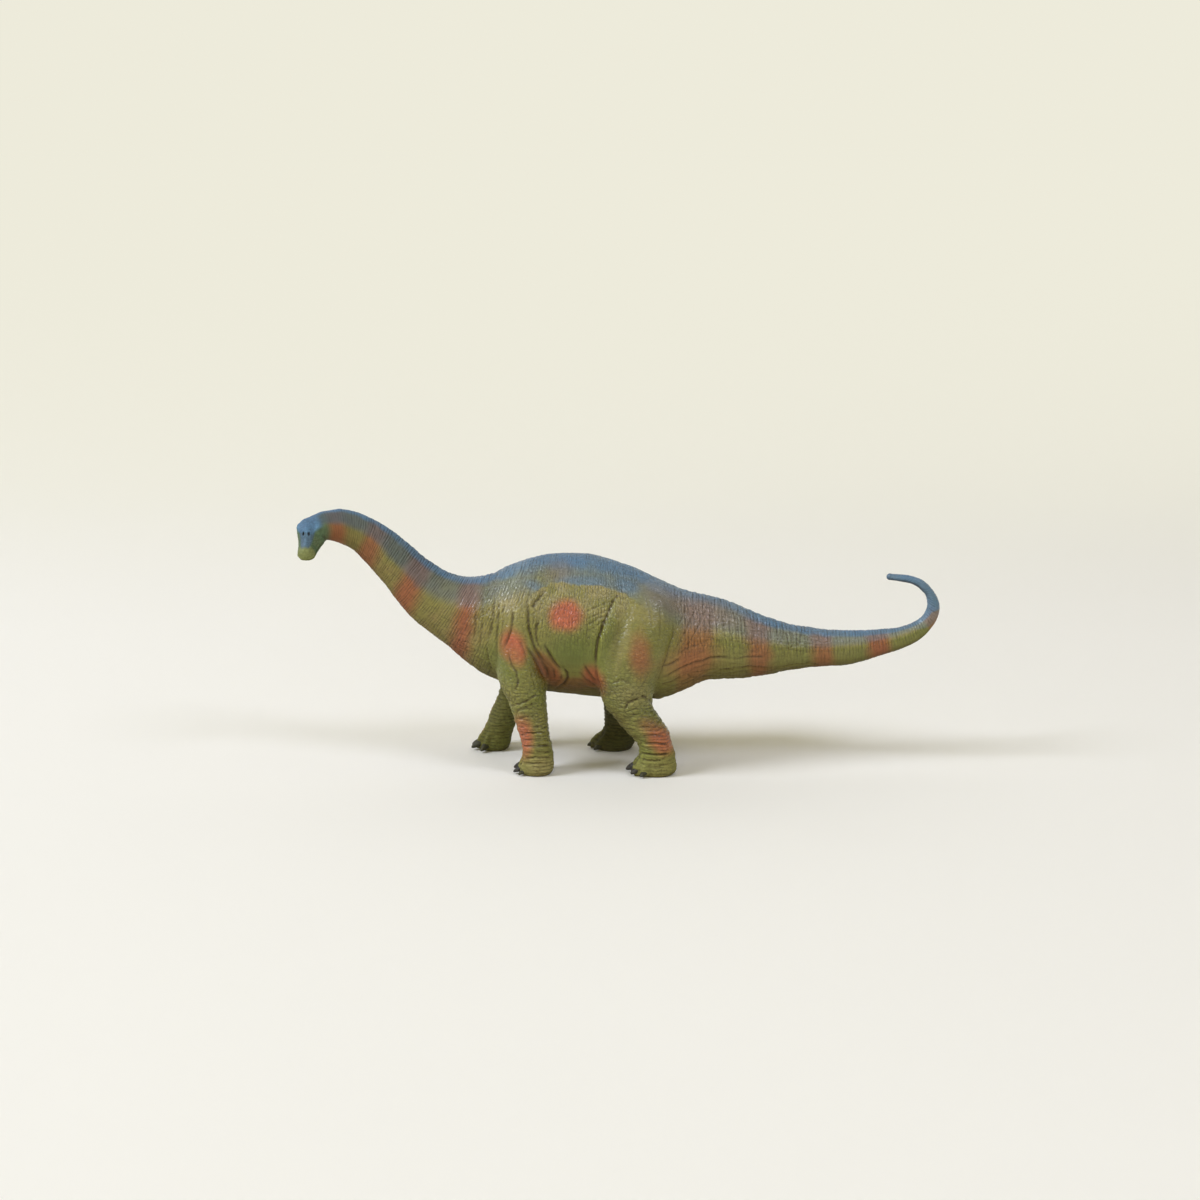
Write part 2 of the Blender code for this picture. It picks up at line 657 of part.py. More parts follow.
def paint(body, colour, roughness):
    """Gives a moulding its own material."""
    material = bpy.data.materials.new(f"{body.name}_paint")
    material.use_nodes = True
    shader = material.node_tree.nodes["Principled BSDF"]
    shader.inputs["Base Color"].default_value = (*colour, 1)
    shader.inputs["Roughness"].default_value = roughness
    shader.inputs["Metallic"].default_value = 0
    body.data.materials.append(material)


def stand_on_origin(bodies):
    """Parents the mouldings to one empty, placed so that the origin is under the middle of the figure."""
    bpy.context.view_layer.update()
    graph = bpy.context.evaluated_depsgraph_get()
    corners = [Vector(corner) for body in bodies for corner in body.evaluated_get(graph).bound_box]
    low = Vector(map(min, zip(*corners)))
    high = Vector(map(max, zip(*corners)))
    figure = bpy.data.objects.new("figure", None)
    bpy.context.scene.collection.objects.link(figure)
    figure.location = (-(low.x + high.x) / 2, -(low.y + high.y) / 2, -low.z)
    for helper in list(bpy.data.objects):
        if helper is not figure:
            helper.parent = figure


def main():
    """Builds the figure, moulding by moulding."""
    clear_scene()
    trunk = whole_trunk("trunk_surface", 0)
    flank = whole_trunk("flank_space", SEAT_GAP)
    surface = BVHTree.FromPolygons(
        [vertex.co for vertex in trunk.data.vertices],
        [face.vertices for face in trunk.data.polygons],
    )
    bpy.data.objects.remove(trunk)

    fore = (FORE_LEG_SHARES, FORE_LEG_DEPTH, FORE_LEG_BREADTH, FORE_PLUG_HEIGHT_SHARE)
    hind = (HIND_LEG_SHARES, HIND_LEG_DEPTH, HIND_LEG_BREADTH, HIND_PLUG_HEIGHT_SHARE)
    legs, plugs = {}, {}
    for end, (rows, depth, breadth, plug_height) in (("fore", fore), ("hind", hind)):
        for word, side in (("left", -1), ("right", 1)):
            name = f"{word}_{end}_leg"
            leg = Leg(rows, side, depth, breadth, plug_height)
            legs[name], plugs[name] = make_leg(name, leg, surface, flank)

    head, head_plug = make_head()
    neck, plugs["neck"] = make_neck(head_plug)
    tail, plugs["tail"] = make_tail()
    hollow = make_hollow(plugs)
    left = make_shell("torso_left", -1, hollow, plugs)
    right = make_shell("torso_right", 1, hollow, plugs)

    paint(head, (0.10, 0.17, 0.19), 0.55)
    paint(neck, (0.13, 0.14, 0.09), 0.6)
    paint(left, (0.15, 0.17, 0.05), 0.6)
    paint(right, (0.15, 0.17, 0.05), 0.6)
    paint(tail, (0.13, 0.15, 0.06), 0.6)
    for body in legs.values():
        paint(body, (0.14, 0.15, 0.05), 0.62)
    stand_on_origin([head, neck, left, right, tail, *legs.values()])


main()
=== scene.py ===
"""Looks of the toy long-necked dinosaur: sculpted and painted skins over the nine mouldings.

The trunk, the legs and the head are grown as plain forms from the same rows of sections that the
mouldings have, fused into one skin, smoothed where a leg melts into the body, and then sculpted with
folds, wrinkles and toes. The finished skin is parted along the seams of the mouldings, so that each
piece stands for its own node. The paint is laid on as on the real toy: an olive base, blue sprayed along
the back, orange-red spots and bands, a brown wash in the folds and a pale dry brush on the ridges.
Some light and shade is painted in as well: brown undersides that are partly painted shade, painted shade
on the legs' inner sides and over the neck, the tail's end and the thighs, a tan upper side that is partly
a painted highlight, and painted highlights on the shoulder and the face.

Everything is in metres in the frame of the mouldings. Places named as picture points are pixels of a
1200 x 1200 picture taken by the scene's camera, and they are carried onto the skin along the view.
"""

import json
import logging
import math
from dataclasses import dataclass, field
from enum import Enum

import bmesh
import bpy
import numpy as np
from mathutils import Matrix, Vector

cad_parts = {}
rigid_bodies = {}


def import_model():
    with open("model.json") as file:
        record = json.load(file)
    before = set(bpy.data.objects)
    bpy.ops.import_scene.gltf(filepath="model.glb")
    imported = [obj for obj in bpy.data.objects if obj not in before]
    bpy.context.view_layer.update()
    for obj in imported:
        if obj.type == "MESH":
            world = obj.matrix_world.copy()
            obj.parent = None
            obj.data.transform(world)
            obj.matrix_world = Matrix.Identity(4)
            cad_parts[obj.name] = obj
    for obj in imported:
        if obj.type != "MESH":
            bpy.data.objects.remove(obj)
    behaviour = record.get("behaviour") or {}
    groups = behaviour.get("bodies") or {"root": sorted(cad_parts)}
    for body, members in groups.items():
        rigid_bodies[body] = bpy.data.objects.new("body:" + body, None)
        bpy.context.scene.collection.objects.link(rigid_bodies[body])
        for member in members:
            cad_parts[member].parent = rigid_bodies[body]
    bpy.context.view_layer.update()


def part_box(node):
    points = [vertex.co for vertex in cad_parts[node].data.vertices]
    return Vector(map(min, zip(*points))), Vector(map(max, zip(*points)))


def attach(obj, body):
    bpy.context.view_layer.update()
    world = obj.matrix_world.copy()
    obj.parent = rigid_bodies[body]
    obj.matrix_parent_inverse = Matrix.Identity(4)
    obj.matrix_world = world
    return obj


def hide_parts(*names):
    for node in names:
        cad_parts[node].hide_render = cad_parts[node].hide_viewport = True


LOG = logging.getLogger("dinosaur")
MM = 0.001

# Close places along the trunk that measures are read from, and the place up to which skin can be the head's
TRUNK_SAMPLES = 961
HEAD_END = 0.02

# The trunk's sections, as in the mouldings: the spine's x and z, the belly's x and z, the half width and
# the sideways shift, as shares of the figure's length, height and width
TRUNK_SHARES = np.array((
    (-0.456, 0.991, -0.447, 0.883, 0.124, -0.130),
    (-0.428, 0.997, -0.428, 0.864, 0.131, -0.075),
    (-0.400, 0.979, -0.411, 0.839, 0.141, -0.035),
    (-0.373, 0.947, -0.396, 0.800, 0.155, -0.010),
    (-0.346, 0.901, -0.380, 0.754, 0.170, 0.000),
    (-0.318, 0.843, -0.360, 0.696, 0.185, 0.000),
    (-0.291, 0.789, -0.342, 0.633, 0.207, 0.000),
    (-0.260, 0.744, -0.319, 0.567, 0.238, 0.000),
    (-0.229, 0.727, -0.290, 0.508, 0.276, 0.000),
    (-0.198, 0.738, -0.259, 0.448, 0.328, 0.000),
    (-0.167, 0.773, -0.231, 0.389, 0.388, 0.000),
    (-0.136, 0.800, -0.205, 0.346, 0.440, 0.000),
    (-0.102, 0.816, -0.145, 0.299, 0.474, 0.000),
    (-0.040, 0.814, -0.043, 0.266, 0.500, 0.000),
    (0.025, 0.764, 0.048, 0.253, 0.466, 0.000),
    (0.060, 0.726, 0.070, 0.255, 0.431, 0.000),
    (0.097, 0.684, 0.099, 0.281, 0.371, 0.000),
    (0.136, 0.659, 0.138, 0.323, 0.310, 0.000),
    (0.175, 0.633, 0.180, 0.329, 0.267, 0.000),
    (0.222, 0.584, 0.224, 0.341, 0.224, 0.000),
    (0.270, 0.545, 0.271, 0.363, 0.181, 0.000),
    (0.317, 0.525, 0.318, 0.377, 0.155, 0.000),
    (0.364, 0.519, 0.365, 0.385, 0.138, 0.000),
    (0.403, 0.521, 0.406, 0.415, 0.112, 0.000),
    (0.437, 0.531, 0.443, 0.444, 0.095, 0.000),
    (0.460, 0.549, 0.471, 0.480, 0.079, 0.000),
    (0.475, 0.574, 0.489, 0.521, 0.069, 0.000),
    (0.482, 0.606, 0.500, 0.570, 0.064, 0.000),
    (0.481, 0.645, 0.502, 0.625, 0.060, 0.000),
    (0.472, 0.676, 0.492, 0.676, 0.055, 0.000),
    (0.458, 0.698, 0.475, 0.715, 0.050, 0.000),
    (0.439, 0.709, 0.453, 0.734, 0.045, 0.000),
    (0.420, 0.715, 0.426, 0.740, 0.034, 0.000),
))

# The legs' sections from the top down: the height, the left and the right leg's x, how far out, the half
# depth and the half breadth, as shares of the figure's sizes and of the leg's own depth and breadth
FORE_LEG_SHARES = np.array((
    (0.681, -0.148, -0.149, 0.216, 0.082, 0.231),
    (0.656, -0.148, -0.150, 0.241, 0.135, 0.365),
    (0.598, -0.152, -0.151, 0.259, 0.279, 0.462),
    (0.521, -0.153, -0.151, 0.284, 0.393, 0.496),
    (0.444, -0.152, -0.150, 0.310, 0.467, 0.500),
    (0.381, -0.149, -0.150, 0.333, 0.500, 0.481),
    (0.327, -0.144, -0.151, 0.345, 0.459, 0.438),
    (0.288, -0.140, -0.154, 0.352, 0.410, 0.396),
    (0.241, -0.136, -0.161, 0.359, 0.385, 0.365),
    (0.201, -0.133, -0.169, 0.362, 0.352, 0.342),
    (0.150, -0.129, -0.181, 0.367, 0.328, 0.319),
    (0.096, -0.124, -0.188, 0.371, 0.324, 0.312),
    (0.059, -0.124, -0.194, 0.371, 0.340, 0.319),
    (0.020, -0.125, -0.198, 0.371, 0.357, 0.323),
    (0.000, -0.126, -0.199, 0.371, 0.300, 0.269),
))
HIND_LEG_SHARES = np.array((
    (0.719, 0.040, 0.038, 0.138, 0.109, 0.174),
    (0.698, 0.040, 0.038, 0.172, 0.246, 0.295),
    (0.663, 0.039, 0.036, 0.210, 0.391, 0.392),
    (0.625, 0.036, 0.033, 0.238, 0.448, 0.451),
    (0.579, 0.032, 0.028, 0.269, 0.489, 0.486),
    (0.521, 0.027, 0.021, 0.300, 0.500, 0.500),
    (0.463, 0.022, 0.015, 0.326, 0.484, 0.490),
    (0.405, 0.017, 0.011, 0.345, 0.432, 0.455),
    (0.347, 0.014, 0.009, 0.359, 0.388, 0.417),
    (0.307, 0.014, 0.012, 0.367, 0.369, 0.382),
    (0.261, 0.019, 0.013, 0.374, 0.339, 0.351),
    (0.215, 0.032, 0.012, 0.378, 0.325, 0.326),
    (0.170, 0.045, 0.012, 0.379, 0.306, 0.312),
    (0.133, 0.055, 0.008, 0.379, 0.262, 0.299),
    (0.091, 0.061, 0.007, 0.379, 0.251, 0.299),
    (0.056, 0.061, 0.003, 0.378, 0.268, 0.309),
    (0.020, 0.060, -0.004, 0.376, 0.292, 0.323),
    (0.000, 0.059, -0.005, 0.376, 0.250, 0.274),
))

# The head along its own axis: the place, the top, the bottom and the half width
HEAD_SHARES = np.array((
    (0.00, 0.06, -0.06, 0.06),
    (0.04, 0.19, -0.22, 0.26),
    (0.12, 0.31, -0.36, 0.40),
    (0.24, 0.41, -0.45, 0.48),
    (0.36, 0.45, -0.48, 0.50),
    (0.46, 0.42, -0.48, 0.47),
    (0.55, 0.31, -0.47, 0.42),
    (0.66, 0.22, -0.45, 0.375),
    (0.80, 0.18, -0.43, 0.36),
    (0.90, 0.13, -0.39, 0.345),
    (0.96, 0.04, -0.31, 0.27),
    (1.00, -0.09, -0.19, 0.08),
))

# The stub between skull and nape: the share of its reach, and its size as a share of the nape's section
STUB_SHARES = ((-0.15, 1.0), (0.0, 1.0), (0.5, 0.94), (1.0, 0.78))

# The throat: where it starts, ahead of the nape and below it, where it ends along the head and above its
# axis, and its thickness at shares of its run
THROAT_START_SHARES = (0.35, 0.35)
THROAT_END_SHARES = (0.84, -0.14)
THROAT_SHARES = ((0, 1), (0.5, 0.83), (1, 0.66))


class Paint(Enum):
    """The paints of the figure, as they look in plain light (red, green and blue from 0 to 255)."""

    OLIVE = (125, 120, 56)
    GREEN = (104, 113, 41)
    MOSS = (88, 98, 30)
    TAN = (154, 140, 94)
    BLUE = (84, 122, 158)
    GREY_BLUE = (104, 120, 124)
    SLATE = (66, 80, 90)
    KHAKI = (144, 120, 72)
    RED = (179, 89, 64)
    RUST = (154, 77, 50)
    MAUVE = (126, 101, 94)
    BROWN = (62, 45, 13)
    # Painted shade for the inner sides of the legs
    DEEP = (30, 29, 6)
    SNOUT = (136, 143, 84)
    CHEEK = (84, 108, 76)

    def linear(self) -> np.ndarray:
        """Returns the colour in linear light."""
        part = np.array(self.value) / 255
        return np.where(part <= 0.04045, part / 12.92, ((part + 0.055) / 1.055) ** 2.4)


def smooth_step(low: float, high: float, value: np.ndarray) -> np.ndarray:
    """Returns 0 below low, 1 above high and a smooth rise between them.

    Args:
        low: Where the rise starts.
        high: Where it ends. It may be the smaller of the two, for a fall.
        value: The numbers to grade.

    Returns:
        The shares from 0 to 1.
    """
    part = np.clip((value - low) / (high - low), 0, 1)
    return part * part * (3 - 2 * part)


def chance(cells: np.ndarray, seed: int) -> np.ndarray:
    """Returns a repeatable number from 0 to 1 for each cell of whole numbers.

    Args:
        cells: The cells, one row of three numbers each.
        seed: The number of the pattern.

    Returns:
        The numbers.
    """
    cell = cells.astype(np.int64)
    mixed = (cell[..., 0] * 73856093) ^ (cell[..., 1] * 19349663) ^ (cell[..., 2] * 83492791)
    mixed = (mixed ^ (seed * 2654435761)) & 0xFFFFFFFF
    mixed = ((mixed ^ (mixed >> 13)) * 1274126177) & 0xFFFFFFFF
    mixed = mixed ^ (mixed >> 16)
    return (mixed & 0xFFFFFF) / 0xFFFFFF


def clouds(points: np.ndarray, seed: int) -> np.ndarray:
    """Makes soft noise with lumps about one unit across.

    Args:
        points: The places, one row each.
        seed: The number of the pattern.

    Returns:
        The noise from -1 to 1.
    """
    base = np.floor(points)
    part = points - base
    part = part * part * (3 - 2 * part)
    total = np.zeros(len(points))
    for corner in np.ndindex(2, 2, 2):
        share = np.prod(np.where(corner, part, 1 - part), axis=1)
        total += share * chance(base + corner, seed)
    return total * 2 - 1


def cracks(points: np.ndarray, seed: int) -> np.ndarray:
    """Measures how far each point is from the border between cells about one unit across.

    Args:
        points: The places, one row each.
        seed: The number of the pattern.

    Returns:
        The distances, 0 on a border.
    """
    base = np.floor(points)
    first = np.full(len(points), 9.0)
    second = np.full(len(points), 9.0)
    for step in np.ndindex(3, 3, 3):
        cell = base + np.array(step) - 1
        spot = cell + np.stack([chance(cell, seed + k) for k in range(3)], axis=1)
        away = np.linalg.norm(points - spot, axis=1)
        second = np.minimum(second, np.maximum(first, away))
        first = np.minimum(first, away)
    return second - first


def spline_rows(rows: np.ndarray, places: np.ndarray) -> np.ndarray:
    """Reads a table at places between its rows, along a smooth curve.

    Args:
        rows: The table.
        places: The places, in rows from 0.

    Returns:
        A row for each place.
    """
    last = len(rows) - 1
    first = np.clip(places.astype(int), 0, last - 1)
    part = (places - first)[:, None]
    b, c, d, e = (rows[np.clip(first + step, 0, last)] for step in (-1, 0, 1, 2))
    curve = 2 * c + (d - b) * part + (2 * b - 5 * c + 4 * d - e) * part**2
    return (curve + (3 * c - b - 3 * d + e) * part**3) / 2


def unit(vectors: np.ndarray) -> np.ndarray:
    """Returns the vectors at a length of 1."""
    return vectors / np.linalg.norm(vectors, axis=-1, keepdims=True)


def bell(values: np.ndarray, width: float) -> np.ndarray:
    """Returns a bell curve that is 1 where the values are 0 and falls off over the width."""
    return np.exp(-((values / width) ** 2))


def section_ring(
    centre: np.ndarray, up: np.ndarray, across: np.ndarray,
    half_height: float, half_width: float, sides: int, crest: float = 0.0,
) -> np.ndarray:
    """Returns the points of one section, a little fuller than an ellipse.

    Args:
        centre: The middle of the section.
        up: Its direction towards the spine.
        across: Its sideways direction.
        half_height: Half its height.
        half_width: Half its width.
        sides: How many points it has.
        crest: How much its upper half narrows.

    Returns:
        The points, one row each.
    """
    fullness = 2 / 2.15
    angle = np.arange(sides) * math.tau / sides
    height = np.sign(np.cos(angle)) * np.abs(np.cos(angle)) ** fullness
    width = np.sign(np.sin(angle)) * np.abs(np.sin(angle)) ** fullness
    width = width * (1 - crest * np.maximum(height, 0) ** 2)
    return centre + np.outer(height * half_height, up) + np.outer(width * half_width, across)


def deselect_all() -> None:
    """Clears the selection, so that an operator acts only on what is chosen next."""
    bpy.ops.object.select_all(action="DESELECT")


def choose(body: bpy.types.Object) -> None:
    """Makes one object the only chosen one.

    Args:
        body: The object.
    """
    deselect_all()
    body.select_set(True)
    bpy.context.view_layer.objects.active = body


def apply_modifier(body: bpy.types.Object, kind: str, **settings: object) -> None:
    """Adds a modifier with its settings and applies it.

    Args:
        body: The object.
        kind: The modifier's type.
        **settings: What is set on the modifier.
    """
    choose(body)
    modifier = body.modifiers.new(kind.lower(), kind)
    for name, value in settings.items():
        setattr(modifier, name, value)
    bpy.ops.object.modifier_apply(modifier=modifier.name)


def grow_form(name: str, rings: list[np.ndarray], tip: np.ndarray | None = None) -> bpy.types.Object:
    """Grows a closed form ring by ring: a filled circle is extruded, and each new ring is set in place.

    Args:
        name: The object's name.
        rings: The points of each ring, equally many in each.
        tip: The last point, for a form that closes in a point.

    Returns:
        The object, with its faces pointing out.
    """
    sides = len(rings[0])
    deselect_all()
    bpy.ops.mesh.primitive_circle_add(vertices=sides, radius=0.01, fill_type="NGON")
    body = bpy.context.active_object
    body.name = body.data.name = name
    bpy.ops.object.mode_set(mode="EDIT")
    form = bmesh.from_edit_mesh(body.data)
    corner = form.verts.layers.int.new("corner")
    for vertex in form.verts:
        vertex[corner] = vertex.index
        vertex.co = rings[0][vertex.index]
    bmesh.update_edit_mesh(body.data)
    for ring in rings[1:]:
        bpy.ops.mesh.extrude_region_move()
        form = bmesh.from_edit_mesh(body.data)
        corner = form.verts.layers.int["corner"]
        for vertex in form.verts:
            if vertex.select:
                vertex.co = ring[vertex[corner]]
        bmesh.update_edit_mesh(body.data)
    if tip is not None:
        bpy.ops.mesh.poke()
        form = bmesh.from_edit_mesh(body.data)
        form.verts.ensure_lookup_table()
        form.verts[-1].co = tip
        bmesh.update_edit_mesh(body.data)
    bpy.ops.mesh.select_all(action="SELECT")
    bpy.ops.mesh.normals_make_consistent(inside=False)
    bpy.ops.object.mode_set(mode="OBJECT")
    return body


def read_array(
    source: bpy.types.bpy_prop_collection, name: str, width: int = 1, kind: type = np.float32
) -> np.ndarray:
    """Reads one property of all of a mesh's vertices, edges, corners or faces.

    Args:
        source: The collection that holds them.
        name: The property.
        width: How many numbers each of them has.
        kind: The kind of number.

    Returns:
        The numbers, with a row for each where there are several.
    """
    values = np.empty(len(source) * width, kind)
    source.foreach_get(name, values)
    return values.reshape(-1, width) if width > 1 else values


def read_points(body: bpy.types.Object) -> np.ndarray:
    """Returns the places of an object's vertices."""
    return read_array(body.data.vertices, "co", 3).astype(float)


def write_points(body: bpy.types.Object, points: np.ndarray) -> None:
    """Moves an object's vertices."""
    body.data.vertices.foreach_set("co", points.astype(np.float32).ravel())
    body.data.update()


def read_normals(body: bpy.types.Object) -> np.ndarray:
    """Returns the direction that the skin faces at each vertex."""
    return read_array(body.data.vertex_normals, "vector", 3).astype(float)


def read_edges(body: bpy.types.Object) -> np.ndarray:
    """Returns the two vertices of each edge."""
    return read_array(body.data.edges, "vertices", 2, np.int32)


def write_value(mesh: bpy.types.Mesh, name: str, values: np.ndarray) -> None:
    """Writes one number for each vertex into an attribute."""
    attribute = mesh.attributes.new(name, "FLOAT", "POINT")
    attribute.data.foreach_set("value", values.astype(np.float32))


def write_vector(mesh: bpy.types.Mesh, name: str, values: np.ndarray) -> None:
    """Writes three numbers for each vertex into an attribute."""
    attribute = mesh.attributes.new(name, "FLOAT_VECTOR", "POINT")
    attribute.data.foreach_set("vector", values.astype(np.float32).ravel())


def neighbour_mean(values: np.ndarray, edges: np.ndarray) -> np.ndarray:
    """Returns the mean of each vertex's neighbours.

    Args:
        values: One number or one row of numbers for each vertex.
        edges: The two vertices of each edge.

    Returns:
        The means, in the form of the values.
    """
    count = np.bincount(edges.ravel(), minlength=len(values))
    columns = values.reshape(len(values), -1)
    mean = np.empty_like(columns)
    for k in range(columns.shape[1]):
        total = np.bincount(edges[:, 0], columns[edges[:, 1], k], len(values))
        total += np.bincount(edges[:, 1], columns[edges[:, 0], k], len(values))
        mean[:, k] = total / np.maximum(count, 1)
    return mean.reshape(values.shape)


def spread(values: np.ndarray, edges: np.ndarray, rounds: int, share: float = 0.5) -> np.ndarray:
    """Moves each vertex's value towards its neighbours' mean, round by round.

    Args:
        values: One number or one row of numbers for each vertex.
        edges: The two vertices of each edge.
        rounds: How many rounds there are.
        share: How much of the way each round goes.

    Returns:
        The values after the last round.
    """
    for _ in range(rounds):
        values = (1 - share) * values + share * neighbour_mean(values, edges)
    return values


def line_distance(points: np.ndarray, line: np.ndarray) -> tuple[np.ndarray, np.ndarray]:
    """Returns the signed distance of points from a line in the picture, and the share of its run.

    Args:
        points: Picture points, one row each.
        line: The corners of the line.

    Returns:
        The distance, positive on the right as the line runs, and the share of the run at the closest
        place.
    """
    best = np.full(len(points), np.inf)
    signed = np.full(len(points), np.inf)
    part = np.zeros(len(points))
    lengths = np.linalg.norm(np.diff(line, axis=0), axis=1)
    before = 0.0
    for start, end, length in zip(line[:-1], line[1:], lengths):
        along = (end - start) / length
        away = points - start
        step = np.clip(away @ along, 0, length)
        gap = away - step[:, None] * along
        size = np.linalg.norm(gap, axis=1)
        side = np.sign(along[0] * away[:, 1] - along[1] * away[:, 0])
        nearer = size < best
        best[nearer] = size[nearer]
        signed[nearer] = (size * side)[nearer]
        part[nearer] = ((before + step) / lengths.sum())[nearer]
        before += length
    return signed, part


def spray(under: np.ndarray, paint: Paint, cover: np.ndarray) -> np.ndarray:
    """Returns the colours under a paint that covers them by shares from 0 to 1."""
    return under + (paint.linear() - under) * cover[:, None]


@dataclass(frozen=True)
class View:
    """The camera of the photograph.

    Attributes:
        distance: How far it stands from its target.
        tilt: How far it looks down.
        focal_pixels: Its focal length in pixels.
        picture: The width of its picture in pixels, and the height too.
        target: What it looks at, before the shift.
        shift: How far the mouldings stand from the middle of the frame.
    """

    distance: float = 1.0
    tilt: float = math.radians(13)
    focal_pixels: float = 1945.0
    picture: int = 1200
    target: tuple[float, float, float] = (-0.009, 0.0, 0.086)
    shift: tuple[float, float, float] = (-0.00187, 0.0, 0.0)

    def forward(self) -> np.ndarray:
        """Returns the direction of the view."""
        return np.array((0.0, math.cos(self.tilt), -math.sin(self.tilt)))

    def up(self) -> np.ndarray:
        """Returns the picture's upward direction."""
        return np.array((0.0, math.sin(self.tilt), math.cos(self.tilt)))

    def eye(self) -> np.ndarray:
        """Returns where the camera stands."""
        return np.array(self.target) + np.array(self.shift) - self.distance * self.forward()

    def project(self, points: np.ndarray) -> np.ndarray:
        """Projects places onto the picture.

        Args:
            points: The places, one row each.

        Returns:
            The picture points, across and down from the top left corner.
        """
        away = points - self.eye()
        depth = away @ self.forward()
        across = away[:, 0] / depth * self.focal_pixels
        down = -(away @ self.up()) / depth * self.focal_pixels
        return np.stack([across, down], axis=1) + self.picture / 2

    def facing(self, points: np.ndarray, normals: np.ndarray) -> np.ndarray:
        """Returns how squarely the skin faces the camera, from -1 to 1."""
        return -np.sum(unit(points - self.eye()) * normals, axis=1)

    def add_camera(self) -> None:
        """Makes the camera and gives it to the scene."""
        data = bpy.data.cameras.new("picture_camera")
        data.sensor_width = 36
        data.lens = self.focal_pixels / self.picture * data.sensor_width
        data.clip_start = 0.01
        data.clip_end = 20
        camera = bpy.data.objects.new("picture_camera", data)
        bpy.context.scene.collection.objects.link(camera)
        camera.location = self.eye()
        camera.rotation_euler = (math.pi / 2 - self.tilt, 0, 0)
        bpy.context.scene.camera = camera


